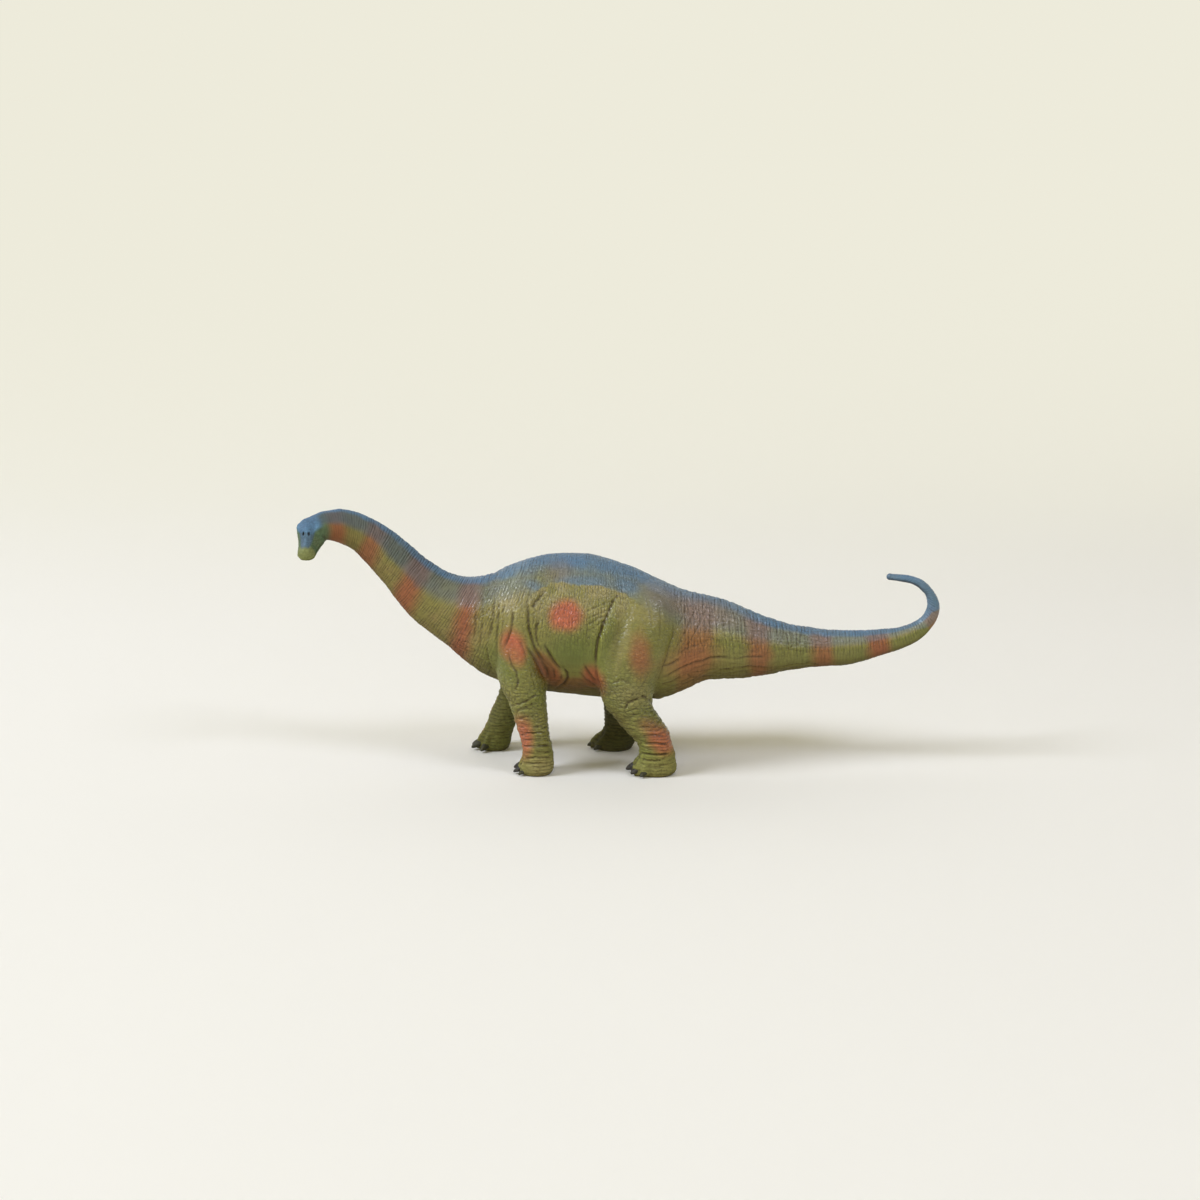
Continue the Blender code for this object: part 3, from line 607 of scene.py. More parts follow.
@dataclass
class Trunk:
    """The neck, the torso and the tail as one form, and the places along it.

    A place is a number from 0 at the nape to that of the last row of the table at the tip of the tail.

    Attributes:
        length: The figure's length.
        height: The figure's height.
        width: The body's width.
        crest: How much the sections narrow towards the spine.
        neck_seam: The place of the seam between neck and torso.
        tail_seam: The place of the seam between torso and tail.
        sides: How many points a section has.
        sections: How many sections the form is grown from.
        shift: How far the mouldings stand from the middle of the frame.
    """

    length: float = 0.330
    height: float = 0.135
    width: float = 0.058
    crest: float = 0.28
    neck_seam: float = 10.0
    tail_seam: float = 16.0
    sides: int = 48
    sections: int = 190
    shift: np.ndarray = field(default_factory=lambda: np.zeros(3))

    @staticmethod
    def places() -> np.ndarray:
        """Returns close places along the trunk."""
        return np.linspace(0, len(TRUNK_SHARES) - 1, TRUNK_SAMPLES)

    def lines(self, places: np.ndarray) -> tuple[np.ndarray, np.ndarray, np.ndarray]:
        """Finds the outline at places.

        Args:
            places: The places along the trunk.

        Returns:
            The spine points, the belly points and the half widths.
        """
        row = spline_rows(TRUNK_SHARES, places)
        across = row[:, 5] * self.width
        spine = np.stack([row[:, 0] * self.length, across, row[:, 1] * self.height], axis=1)
        belly = np.stack([row[:, 2] * self.length, across, row[:, 3] * self.height], axis=1)
        return spine + self.shift, belly + self.shift, row[:, 4] * self.width

    def frames(self, places: np.ndarray) -> dict[str, np.ndarray]:
        """Finds the frames of the sections at places.

        Args:
            places: The places along the trunk.

        Returns:
            For each name, such as centre, up and normal, a row or a number for each place.
        """
        last, step = len(TRUNK_SHARES) - 1, 0.05
        spine, belly, half_width = self.lines(places)
        ahead = self.lines(np.minimum(places + step, last))
        behind = self.lines(np.maximum(places - step, 0))
        along = (ahead[0] + ahead[1] - behind[0] - behind[1]) / 2
        up = unit(spine - belly)
        across = unit(np.cross(up, along))
        return {
            "centre": (spine + belly) / 2,
            "up": up,
            "across": across,
            "normal": np.cross(across, up),
            "half_height": np.linalg.norm(spine - belly, axis=1) / 2,
            "half_width": half_width,
        }

    def samples(self) -> tuple[np.ndarray, dict[str, np.ndarray], np.ndarray]:
        """Returns close places along the trunk, their frames and the run of the middle line to each.

        Returns:
            The places, their frames by name, and the run along the middle up to each.
        """
        places = self.places()
        frames = self.frames(places)
        steps = np.linalg.norm(np.diff(frames["centre"], axis=0), axis=1)
        return places, frames, np.concatenate([[0], np.cumsum(steps)])

    def build(self) -> bpy.types.Object:
        """Grows the trunk from the nape to the rounded tip of the tail.

        Returns:
            The form.
        """
        places, _, run = self.samples()
        even = np.interp(np.linspace(0, run[-1], self.sections), run, places)
        frame = self.frames(even)
        rings = [self.ring(frame, k) for k in range(len(even))]
        ahead = frame["normal"][-1] * ((frame["half_height"][-1] + frame["half_width"][-1]) / 2)
        for angle in np.linspace(0, math.pi / 2, 5)[1:-1]:
            rings.append(self.ring(frame, -1, ahead * math.sin(angle), math.cos(angle)))
        return grow_form("trunk_form", rings, frame["centre"][-1] + ahead)

    def ring(
        self, frame: dict[str, np.ndarray], k: int, ahead: np.ndarray | float = 0.0, size: float = 1.0
    ) -> np.ndarray:
        """Makes the points of one section of the trunk.

        Args:
            frame: The frames of the sections.
            k: The number of the section.
            ahead: How far its middle is moved.
            size: How large it is, as a share of the section itself.

        Returns:
            The points, one row each.
        """
        return section_ring(
            frame["centre"][k] + ahead, frame["up"][k], frame["across"][k],
            frame["half_height"][k] * size, frame["half_width"][k] * size, self.sides, self.crest,
        )

    def measure(self, points: np.ndarray) -> dict[str, np.ndarray]:
        """Finds where points lie on the trunk.

        Args:
            points: Places in the frame, one row each.

        Returns:
            For each point the place among the rows, the run along the middle line, how far it is
            across and above that line, and how far it lies outside the trunk's section.
        """
        places, frames, run = self.samples()
        place = np.empty(len(points))
        chunk, coarse = 20000, 4
        for start in range(0, len(points), chunk):
            part = points[start:start + chunk]
            away = ((part[:, None, :] - frames["centre"][None, ::coarse]) ** 2).sum(axis=2)
            place[start:start + chunk] = places[::coarse][away.argmin(axis=1)]
        for _ in range(4):
            here = self.at(place, places, frames)
            off = np.sum((points - here["centre"]) * here["normal"], axis=1)
            pace = np.interp(place, places, np.gradient(run, places))
            place = np.clip(place + 0.8 * off / pace, 0, places[-1])
        here = self.at(place, places, frames)
        away = points - here["centre"]
        rise = np.sum(away * here["up"], axis=1)
        side = np.sum(away * here["across"], axis=1)
        past = np.sum(away * here["normal"], axis=1)
        full = np.hypot(rise / here["half_height"], side / here["half_width"])
        outside = (full - 1) * np.minimum(here["half_height"], here["half_width"])
        return {
            "place": place,
            "run": np.interp(place, places, run),
            "rise": rise,
            "side": side,
            "past": past,
            "outside": outside,
            "half_height": here["half_height"],
            "half_width": here["half_width"],
        }

    @staticmethod
    def at(place: np.ndarray, places: np.ndarray, frames: dict[str, np.ndarray]) -> dict[str, np.ndarray]:
        """Reads the frames between the samples.

        Args:
            place: The places to read them at.
            places: The places of the samples.
            frames: The samples' frames.

        Returns:
            The frames, by name.
        """
        found = {}
        for name, values in frames.items():
            if values.ndim == 1:
                found[name] = np.interp(place, places, values)
            else:
                columns = [np.interp(place, places, values[:, k]) for k in range(3)]
                found[name] = np.stack(columns, axis=1)
        return found


@dataclass
class Leg:
    """One leg: its sections, its stance and its claws.

    Attributes:
        name: The name of the moulding.
        rows: Its table of sections.
        side: -1 for the left side and 1 for the right.
        depth: How deep it is from front to back at its thickest.
        breadth: How broad it is there.
        trunk: The trunk that it stands at.
        claw_turn: How far its claws are turned outwards, as a share of a whole turn.
        toe_reach: How much further than the plain foot its front toes reach, in millimetres.
        claw_scale: How large its claws are, as a share of the plain size.
        sides: How many points a section has.
    """

    name: str
    rows: np.ndarray
    side: int
    depth: float
    breadth: float
    trunk: Trunk
    claw_turn: float = 0.0
    toe_reach: float = 1.0
    claw_scale: float = 1.0
    sides: int = 36

    def section(self, heights: np.ndarray) -> tuple[np.ndarray, np.ndarray, np.ndarray]:
        """Finds the level sections at heights.

        Args:
            heights: The heights in the frame.

        Returns:
            The middles, the half depths and the half breadths.
        """
        table = self.rows[::-1]
        share = heights / self.trunk.height
        left_x, right_x, out, deep, broad = (np.interp(share, table[:, 0], table[:, k]) for k in range(1, 6))
        x = (left_x if self.side < 0 else right_x) * self.trunk.length
        middle = np.stack([x, out * self.trunk.width * self.side, heights], axis=1)
        return middle + self.trunk.shift * (1, 1, 0), deep * self.depth, broad * self.breadth

    def build(self) -> bpy.types.Object:
        """Grows the leg from above the flank down to its sole.

        Returns:
            The form.
        """
        places = np.linspace(0, len(self.rows) - 1, 4 * (len(self.rows) - 1) + 1)
        rings = []
        for height, left_x, right_x, out, deep, broad in spline_rows(self.rows, places):
            middle = np.array((
                (left_x if self.side < 0 else right_x) * self.trunk.length,
                self.side * out * self.trunk.width,
                height * self.trunk.height,
            )) + self.trunk.shift
            forward, outward = np.array((-1.0, 0, 0)), np.array((0, float(self.side), 0))
            rings.append(section_ring(
                middle, forward, outward, deep * self.depth, broad * self.breadth, self.sides
            ))
        return grow_form(f"{self.name}_form", rings)

    def outside(self, points: np.ndarray) -> np.ndarray:
        """Finds how far points lie outside the leg's level sections.

        Args:
            points: Places in the frame, one row each.

        Returns:
            The distances, below 0 inside the leg.
        """
        middle, depth, breadth = self.section(points[:, 2])
        away = points - middle
        full = np.hypot(away[:, 0] / depth, away[:, 1] / breadth)
        over = np.maximum(points[:, 2] - self.rows[0, 0] * self.trunk.height, 0)
        return (full - 1) * np.minimum(depth, breadth) + over

    def stride(self, heights: np.ndarray) -> np.ndarray:
        """Finds how far behind the left leg this one stands.

        Args:
            heights: The heights in the frame.

        Returns:
            The distances along x, which are 0 for the left leg itself.
        """
        table = self.rows[::-1]
        share = heights / self.trunk.height
        if self.side < 0:
            return np.zeros(len(heights))
        gap = np.interp(share, table[:, 0], table[:, 2] - table[:, 1])
        return gap * self.trunk.length


@dataclass
class Head:
    """The head: skull, snout, stub towards the neck and throat.

    Attributes:
        trunk: The trunk that it belongs to.
        length: Its length.
        depth: Its depth.
        width: Its width.
        reach: How far its middle lies from the nape.
        yaw: How far it is turned towards the viewer.
        pitch: How far it looks down.
        throat_radius: How thick the throat is.
        skull_share: Where the skull's middle lies, as a share of the length.
        sides: How many points a section has.
    """

    trunk: Trunk
    length: float = 0.0243
    depth: float = 0.0140
    width: float = 0.0120
    reach: float = 0.0072
    yaw: float = math.radians(85)
    pitch: float = math.radians(42)
    throat_radius: float = 0.0048
    skull_share: float = 0.28
    sides: int = 36

    def axes(self) -> tuple[np.ndarray, np.ndarray, np.ndarray]:
        """Returns the head's forward, up and across directions.

        Returns:
            The three directions, each one unit long.
        """
        level = math.cos(self.pitch)
        forward = np.array((
            -math.cos(self.yaw) * level, -math.sin(self.yaw) * level, -math.sin(self.pitch)
        ))
        across = unit(np.cross(forward, (0, 0, 1)))
        return forward, np.cross(across, forward), across

    def nape(self) -> dict[str, np.ndarray]:
        """Returns the trunk's first section."""
        return {name: value[0] for name, value in self.trunk.frames(np.zeros(1)).items()}

    def place(self, along: float, height: float, side: float) -> np.ndarray:
        """Returns a point of the head.

        Args:
            along: Its share of the length, from the back of the skull.
            height: Its share of the depth, up from the axis.
            side: Its share of the width, out from the axis.

        Returns:
            The point in the frame.
        """
        forward, up, across = self.axes()
        nape = self.nape()
        skull = nape["centre"] - nape["normal"] * self.reach
        ahead = forward * ((along - self.skull_share) * self.length)
        return skull + ahead + up * (height * self.depth) + across * (side * self.width)

    def shares(self, points: np.ndarray) -> np.ndarray:
        """Finds where points lie on the head.

        Args:
            points: Places in the frame, one row each.

        Returns:
            Their shares of the head's length, depth and width, one row each.
        """
        forward, up, across = self.axes()
        away = points - self.place(0, 0, 0)
        shares = (away @ forward / self.length, away @ up / self.depth, away @ across / self.width)
        return np.stack(shares, axis=1)

    def build(self) -> list[bpy.types.Object]:
        """Grows the skull, the stub and the throat, which the skin then fuses.

        Returns:
            The three forms.
        """
        _, up, across = self.axes()
        rings = []
        places = np.linspace(0, len(HEAD_SHARES) - 1, 45)
        for along, top, bottom, half_width in spline_rows(HEAD_SHARES, places):
            centre = self.place(along, (top + bottom) / 2, 0)
            half_height = (top - bottom) / 2 * self.depth
            rings.append(section_ring(centre, up, across, half_height, half_width * self.width, self.sides))
        skull = grow_form("skull_form", rings)

        nape = self.nape()
        rings = []
        for along, size in STUB_SHARES:
            centre = nape["centre"] - nape["normal"] * (self.reach * along)
            rings.append(section_ring(
                centre, nape["up"], nape["across"], nape["half_height"] * size,
                nape["half_width"] * size, self.sides, self.trunk.crest,
            ))
        stub = grow_form("stub_form", rings)

        ahead, below = THROAT_START_SHARES
        start = nape["centre"] - nape["normal"] * (ahead * self.reach)
        start = start - nape["up"] * (below * nape["half_height"])
        end = self.place(*THROAT_END_SHARES, 0)
        along = unit(end - start)
        side = unit(np.cross(along, (0, 0, 1)))
        rings = []
        for part, size in THROAT_SHARES:
            centre, radius = start + (end - start) * part, self.throat_radius * size
            rings.append(section_ring(centre, np.cross(side, along), side, radius, radius, self.sides))
        return [skull, stub, grow_form("throat_form", rings)]


@dataclass(frozen=True)
class Fold:
    """A fold pressed into the skin along a line of picture points.

    Attributes:
        line: The picture points that it follows.
        depth: How deep it is in millimetres.
        width: Half its width in millimetres.
        bulge: How far the skin swells beside it in millimetres, over on the side that the line has on
            its right as it runs, or on its left where the number is negative.
        reach: How far that swelling spreads in millimetres.
    """

    line: tuple[tuple[float, float], ...]
    depth: float
    width: float
    bulge: float = 0.0
    reach: float = 5.0


FOLDS = (
    # Shoulder blade, shoulder and elbow
    Fold(((544, 592), (540, 597), (534.6, 602.6), (531, 609)), 0.45, 0.8, 0.5, 5),
    Fold(
        ((526, 600), (528, 607), (528, 618), (529, 629), (532, 639), (535, 648), (540, 657), (547, 664)),
        0.75, 0.75,
    ),
    Fold(((512.5, 607), (513, 618), (512, 628), (509, 636), (506, 643), (504, 650)), 0.5, 0.7, 0.4, 4),
    Fold(((508, 650), (509, 657), (512, 666), (516, 671), (518, 680), (517, 687), (513, 692)), 0.5, 0.7),
    Fold(((539, 619), (536.5, 627), (535.6, 636), (537, 643), (540, 650)), 0.5, 0.7, -0.5, 6),
    Fold(((545, 646), (550, 655), (555, 663), (562, 671)), 0.75, 0.75, -0.4, 4),
    Fold(((527, 647), (534, 657), (539, 666), (545, 679)), 0.5, 0.7),
    Fold(((540, 660), (546, 669), (549, 679)), 0.5, 0.7),
    Fold(((553, 669), (555, 679)), 0.4, 0.6),
    Fold(((563, 667), (567, 673), (567.5, 678), (564, 684), (557, 688)), 0.85, 0.75, 0.9, 4),
    Fold(((559, 662), (563, 671), (561, 679), (555, 683)), 0.35, 0.9),
    Fold(((546, 684), (555, 688), (566, 688)), 0.4, 0.6),
    Fold(((520, 640), (524, 650), (527, 662)), 0.25, 0.6),
    Fold(((530, 668), (533, 680), (536, 690)), 0.25, 0.6),
    # Groin and thigh
    Fold(((584, 665), (588, 672), (593, 678), (598, 683)), 0.65, 0.7),
    Fold(((579, 672), (586, 680), (597, 687)), 0.35, 0.6),
    Fold(((575, 684), (585, 687), (597, 691)), 0.3, 0.6),
    Fold(
        ((622, 591), (613, 601), (608, 613), (603, 625), (598, 640), (596, 655), (596, 668)),
        0.50, 0.62, -1.15, 9,
    ),
    Fold(((606, 616), (601, 630), (597, 642), (595, 655), (595, 667)), 0.55, 1.3),
    Fold(((596, 668), (598, 680), (603, 694)), 0.5, 0.7, -0.4, 5),
    Fold(((627, 606), (623, 624), (616, 644), (609, 668)), 0.36, 2.0),
    Fold(((675, 622), (674, 635), (670, 646), (667, 657), (662, 670), (658, 682)), 0.38, 0.75, 0.7, 7),
    Fold(((640, 690), (646, 680), (648, 668)), 0.25, 1.2),
    Fold(((612, 600), (622, 604), (634, 603), (646, 606)), 0.2, 0.6),
    Fold(((646, 598), (650, 612), (652, 628)), 0.2, 0.6),
    Fold(((660, 604), (661, 620), (659, 640)), 0.2, 0.6),
    Fold(((583, 613), (594, 608), (606, 603), (615, 601)), 0.22, 0.5),
    Fold(((586, 619), (598, 614), (610, 609)), 0.24, 0.5),
    Fold(((588, 625), (599, 618), (609, 615)), 0.22, 0.5),
    Fold(((591, 631), (600, 623), (606, 620)), 0.22, 0.5),
    Fold(((688, 600), (683, 616), (676, 632)), 0.24, 0.5),
    Fold(((698, 603), (691, 620), (682, 638), (673, 655)), 0.26, 0.5),
    Fold(((707, 606), (700, 624), (691, 640), (680, 657)), 0.24, 0.5),
    # Neck base
    Fold(((476, 604), (475, 624), (473.5, 640)), 0.35, 0.6),
    Fold(((483, 600), (482, 620), (480, 640), (480, 655)), 0.3, 0.6),
    Fold(((494, 600), (493, 618), (490, 632), (486, 642)), 0.4, 0.6),
    Fold(((499, 600), (498, 622), (496, 645), (496, 672)), 0.45, 0.7),
    Fold(((486, 645), (488, 660), (492, 672)), 0.3, 0.6),
    Fold(((503, 600), (503, 620), (501, 640)), 0.25, 0.6),
    Fold(((470, 645), (480, 659), (492, 669)), 0.25, 0.7),
    # Tail root
    Fold(((663, 667), (672, 664), (680, 659)), 0.65, 0.7),
    Fold(
        ((659, 678), (668, 676), (680, 669), (694, 663), (703, 661), (711, 658), (720, 657), (734, 658)),
        0.7, 0.7,
    ),
    Fold(((735, 659), (748, 657), (764, 657)), 0.45, 0.6),
    Fold(((660, 686), (672, 682), (684, 677)), 0.55, 0.7),
    Fold(((718, 671), (735, 668), (752, 667), (771, 669)), 0.5, 0.65),
    Fold(((676, 655), (690, 648), (704, 642)), 0.25, 0.6),
    Fold(((684, 685), (698, 679), (716, 675)), 0.55, 0.7),
    # Knee of the hind leg and ring folds above the foot
    Fold(((612, 684), (620, 680), (630, 683)), 0.3, 0.8),
    Fold(((624, 711), (628, 703), (639, 698), (650, 696)), 0.55, 0.7, 0.5, 4),
    Fold(((636, 693), (643, 696), (650, 700), (656, 706)), 0.4, 0.6),
    Fold(((630, 716), (640, 712), (650, 712)), 0.25, 0.6),
    Fold(((640, 728), (652, 726), (664, 727)), 0.3, 0.6),
    Fold(((641, 737), (653, 735), (668, 737)), 0.35, 0.6),
    Fold(((642, 744), (656, 743), (670, 745)), 0.5, 0.6, 0.3, 2.5),
    Fold(((640, 753), (652, 755), (660, 755), (671, 754)), 0.65, 0.65, 0.3, 2.5),
    Fold(((644, 760), (655, 761), (668, 758)), 0.45, 0.55),
    Fold(((644, 766), (657, 767), (672, 763)), 0.3, 0.5),
    # Wrist of the fore leg
    Fold(((511, 706), (522, 703), (530, 699), (538, 694)), 0.5, 0.65, 0.4, 3),
    Fold(((515, 712), (524, 708), (536, 703)), 0.3, 0.55),
    Fold(((516, 720), (526, 717), (540, 717)), 0.3, 0.55),
    Fold(((517, 728), (530, 727), (550, 727)), 0.35, 0.55),
    Fold(((517, 736), (530, 733), (550, 733)), 0.4, 0.55),
    Fold(((518, 741), (534, 739), (552, 739)), 0.3, 0.5),
    Fold(((519, 747), (534, 746), (553, 745)), 0.55, 0.55, 0.25, 2.5),
    Fold(((521, 753), (536, 752), (553, 752)), 0.4, 0.5),
    Fold(((523, 759), (536, 757), (553, 758)), 0.45, 0.5),
    Fold(((526, 764), (540, 763), (553, 764)), 0.3, 0.5),
)


def oval(
    picture: np.ndarray, centre: tuple[float, float], size: tuple[float, float], turn: float
) -> tuple[np.ndarray, np.ndarray]:
    """Finds where picture points lie in a leaning oval.

    Args:
        picture: The picture points, one row each.
        centre: The oval's middle.
        size: Its half width and half height.
        turn: How far it leans, in degrees.

    Returns:
        How far across and how far down they are from its middle, as shares of its size.
    """
    away = picture - np.array(centre)
    lean = math.radians(turn)
    across = (away[:, 0] * math.cos(lean) + away[:, 1] * math.sin(lean)) / size[0]
    down = (away[:, 1] * math.cos(lean) - away[:, 0] * math.sin(lean)) / size[1]
    return across, down


@dataclass(frozen=True)
class Bump:
    """A broad swelling or dip of the body at a picture point.

    Attributes:
        centre: Its middle as a picture point.
        size: Its half width and half height in pixels.
        height: How high it is in millimetres.
        turn: How far it leans, in degrees.
    """

    centre: tuple[float, float]
    size: tuple[float, float]
    height: float
    turn: float = 0.0

    def rise(self, picture: np.ndarray) -> np.ndarray:
        """Returns its height at picture points."""
        across, down = oval(picture, self.centre, self.size, self.turn)
        return self.height * np.exp(-(across**2) - down**2)


BUMPS = (
    Bump((517, 618), (13, 17), 0.9, -10),
    Bump((521, 668), (12, 16), 0.5),
    Bump((612, 634), (8, 26), 0.6, 8),
    Bump((630, 640), (8, 26), 0.4, 12),
    Bump((648, 640), (10, 28), 0.5),
    Bump((640, 600), (22, 10), 0.5),
    Bump((632, 691), (12, 8), 0.8, -20),
    Bump((525, 700), (11, 6), 0.5, -20),
    Bump((545, 680), (6, 5), 0.5),
    Bump((566, 640), (14, 22), 0.5),
    Bump((590, 640), (7, 24), -0.5),
    Bump((594, 676), (6, 8), 0.6),
    Bump((490, 640), (6, 24), -0.35),
    Bump((660, 748), (8, 5), 0.5),
    Bump((534, 752), (12, 5), 0.4),
    Bump((690, 645), (14, 14), -0.4),
)

# Claws round the front of a foot, as on the mouldings: the turn from straight ahead towards the outer
# side as a share of a whole turn, and the size
CLAW_SHARES = ((-0.08, 0.85), (0.02, 1.00), (0.11, 0.85), (0.18, 0.65))


@dataclass(frozen=True)
class Spot:
    """A sprayed spot: an oval of paint with a soft rim, at a picture point; the tan one on the shoulder is a
    painted highlight.

    Attributes:
        centre: Its middle as a picture point.
        size: Its half width and half height in pixels.
        turn: How far it leans, in degrees.
        paint: Its colour.
        strength: How thickly it is sprayed.
        rim: How soft its edge is, as a share of its size.
    """

    centre: tuple[float, float]
    size: tuple[float, float]
    turn: float = 0.0
    paint: Paint = Paint.RED
    strength: float = 0.9
    rim: float = 0.45

    def cover(self, picture: np.ndarray, rough: np.ndarray) -> np.ndarray:
        """Finds how thickly the spot covers picture points.

        Args:
            picture: The picture points, one row each.
            rough: How far its rim is moved at each of them, to make it slightly uneven.

        Returns:
            The cover at each point.
        """
        across, down = oval(picture, self.centre, self.size, self.turn)
        reach = np.hypot(across, down) + 0.12 * rough
        return self.strength * (1 - smooth_step(1 - self.rim, 1 + self.rim, reach))


SPOTS = (
    Spot((513, 648), (12, 17), -12, strength=0.92, rim=0.5),
    Spot((566, 616), (16, 15), 0, strength=0.92, rim=0.5),
    Spot((640, 656), (10, 20), -4, Paint.RUST, 0.68, 0.7),
    Spot((523, 737), (9, 19), -8, strength=0.78, rim=0.6),
    Spot((663, 741), (13, 12), 10, strength=0.72, rim=0.6),
    Spot((652, 729), (13, 9), 30, Paint.RUST, 0.50, 0.7),
    Spot((548, 668), (9, 19), -38, Paint.RUST, 0.85, 0.5),
    Spot((541, 668), (8, 20), -30, Paint.BROWN, 0.52, 0.6),
    Spot((592, 676), (9, 11), -40, Paint.RUST, 0.85, 0.5),
    Spot((577, 684), (24, 6), 0, Paint.RUST, 0.50, 0.6),
    Spot((602, 686), (5, 10), 0, Paint.RUST, 0.40, 0.7),
    Spot((578, 689), (34, 8), 0, Paint.BROWN, 0.42, 0.7),
    Spot((698, 634), (15, 20), 35, Paint.RUST, 0.35, 0.8),
    Spot((690, 662), (26, 14), -15, Paint.RUST, 0.50, 0.8),
    Spot((615, 645), (5, 20), 14, Paint.BROWN, 0.30, 0.7),
    Spot((624, 643), (4, 26), 16, Paint.TAN, 0.36, 0.7),
    Spot((652, 612), (22, 12), 0, Paint.TAN, 0.45, 0.7),
    Spot((570, 652), (24, 16), 0, Paint.MOSS, 0.75, 0.7),
    Spot((608, 636), (6, 28), 10, Paint.MOSS, 0.45, 0.7),
    # Painted highlight on the shoulder, sprayed as a tan spot
    Spot((510, 606), (14, 18), 0, Paint.TAN, 0.45, 0.8),
    Spot((540, 768), (16, 11), 0, Paint.TAN, 0.60, 0.6),
    Spot((660, 768), (18, 10), 0, Paint.TAN, 0.24, 0.6),
    Spot((634, 696), (18, 11), 0, Paint.TAN, 0.40, 0.8),
    Spot((500, 660), (18, 16), 35, Paint.MOSS, 0.45, 0.7),
    Spot((546, 577), (12, 11), 0, Paint.OLIVE, 0.50, 0.6),
    Spot((559, 571), (13, 11), 0, Paint.MAUVE, 0.34, 0.7),
    Spot((664, 598), (24, 12), 25, Paint.MAUVE, 0.40, 0.7),
    Spot((708, 612), (34, 13), 17, Paint.MAUVE, 0.55, 0.6),
    Spot((467, 600), (9, 15), 0, Paint.MAUVE, 0.55, 0.6),
    Spot((533, 585), (9, 5), 20, Paint.BLUE, 0.35, 0.7),
    Spot((585, 582), (24, 6), 0, Paint.BLUE, 0.45, 0.6),
    Spot((627, 586), (12, 6), 15, Paint.BLUE, 0.55, 0.6),
)


@dataclass(frozen=True)
class Band:
    """A sprayed band round the neck or the tail, between two places along the trunk.

    Attributes:
        top: The places at the spine.
        bottom: The places at the belly.
        start: How far down the side it starts, as a share from the back to the belly.
        strength: How thickly it is sprayed.
    """

    top: tuple[float, float]
    bottom: tuple[float, float]
    start: float
    strength: float


BANDS = (
    Band((0.3, 1.1), (0.15, 1.2), 0.0, 0.72),
    Band((2.8, 3.7), (2.4, 3.9), 0.0, 0.66),
    Band((5.1, 6.0), (5.6, 6.7), 0.0, 0.76),
    Band((7.75, 8.5), (8.8, 9.7), 0.0, 0.80),
    Band((16.2, 17.4), (15.8, 17.0), 0.08, 0.36),
    Band((18.5, 19.3), (18.6, 19.3), 0.08, 0.66),
    Band((20.6, 21.3), (20.75, 21.4), 0.10, 0.66),
    Band((22.6, 23.5), (22.7, 23.6), 0.12, 0.80),
    Band((25.9, 27.3), (26.0, 27.6), 0.25, 0.55),
)

# How far down the side the blue and the grey-blue overspray reach: the place along the trunk, the share
# from the back to the belly where the blue ends, and where the overspray ends
BACK_SPRAY = np.array((
    (0.0, 0.12, 0.47), (1.0, 0.10, 0.46), (2.0, 0.11, 0.46), (3.0, 0.12, 0.42), (4.0, 0.12, 0.48),
    (5.0, 0.12, 0.50), (6.0, 0.12, 0.50), (7.0, 0.12, 0.48), (8.0, 0.12, 0.44), (9.0, 0.12, 0.38),
    (10.0, 0.12, 0.33), (11.0, 0.13, 0.30), (11.7, 0.12, 0.29), (12.1, 0.11, 0.22), (12.6, 0.11, 0.225),
    (13.5, 0.11, 0.225), (14.0, 0.11, 0.25), (15.0, 0.11, 0.28), (16.0, 0.11, 0.36), (17.0, 0.11, 0.40),
    (18.0, 0.13, 0.42), (19.0, 0.15, 0.44), (20.0, 0.17, 0.46), (21.0, 0.18, 0.46), (22.0, 0.20, 0.42),
    (23.0, 0.21, 0.38), (24.0, 0.20, 0.35), (25.0, 0.21, 0.38), (26.0, 0.28, 0.75), (27.0, 0.45, 0.95),
    (27.8, 1.10, 1.20), (32.0, 1.10, 1.20),
))


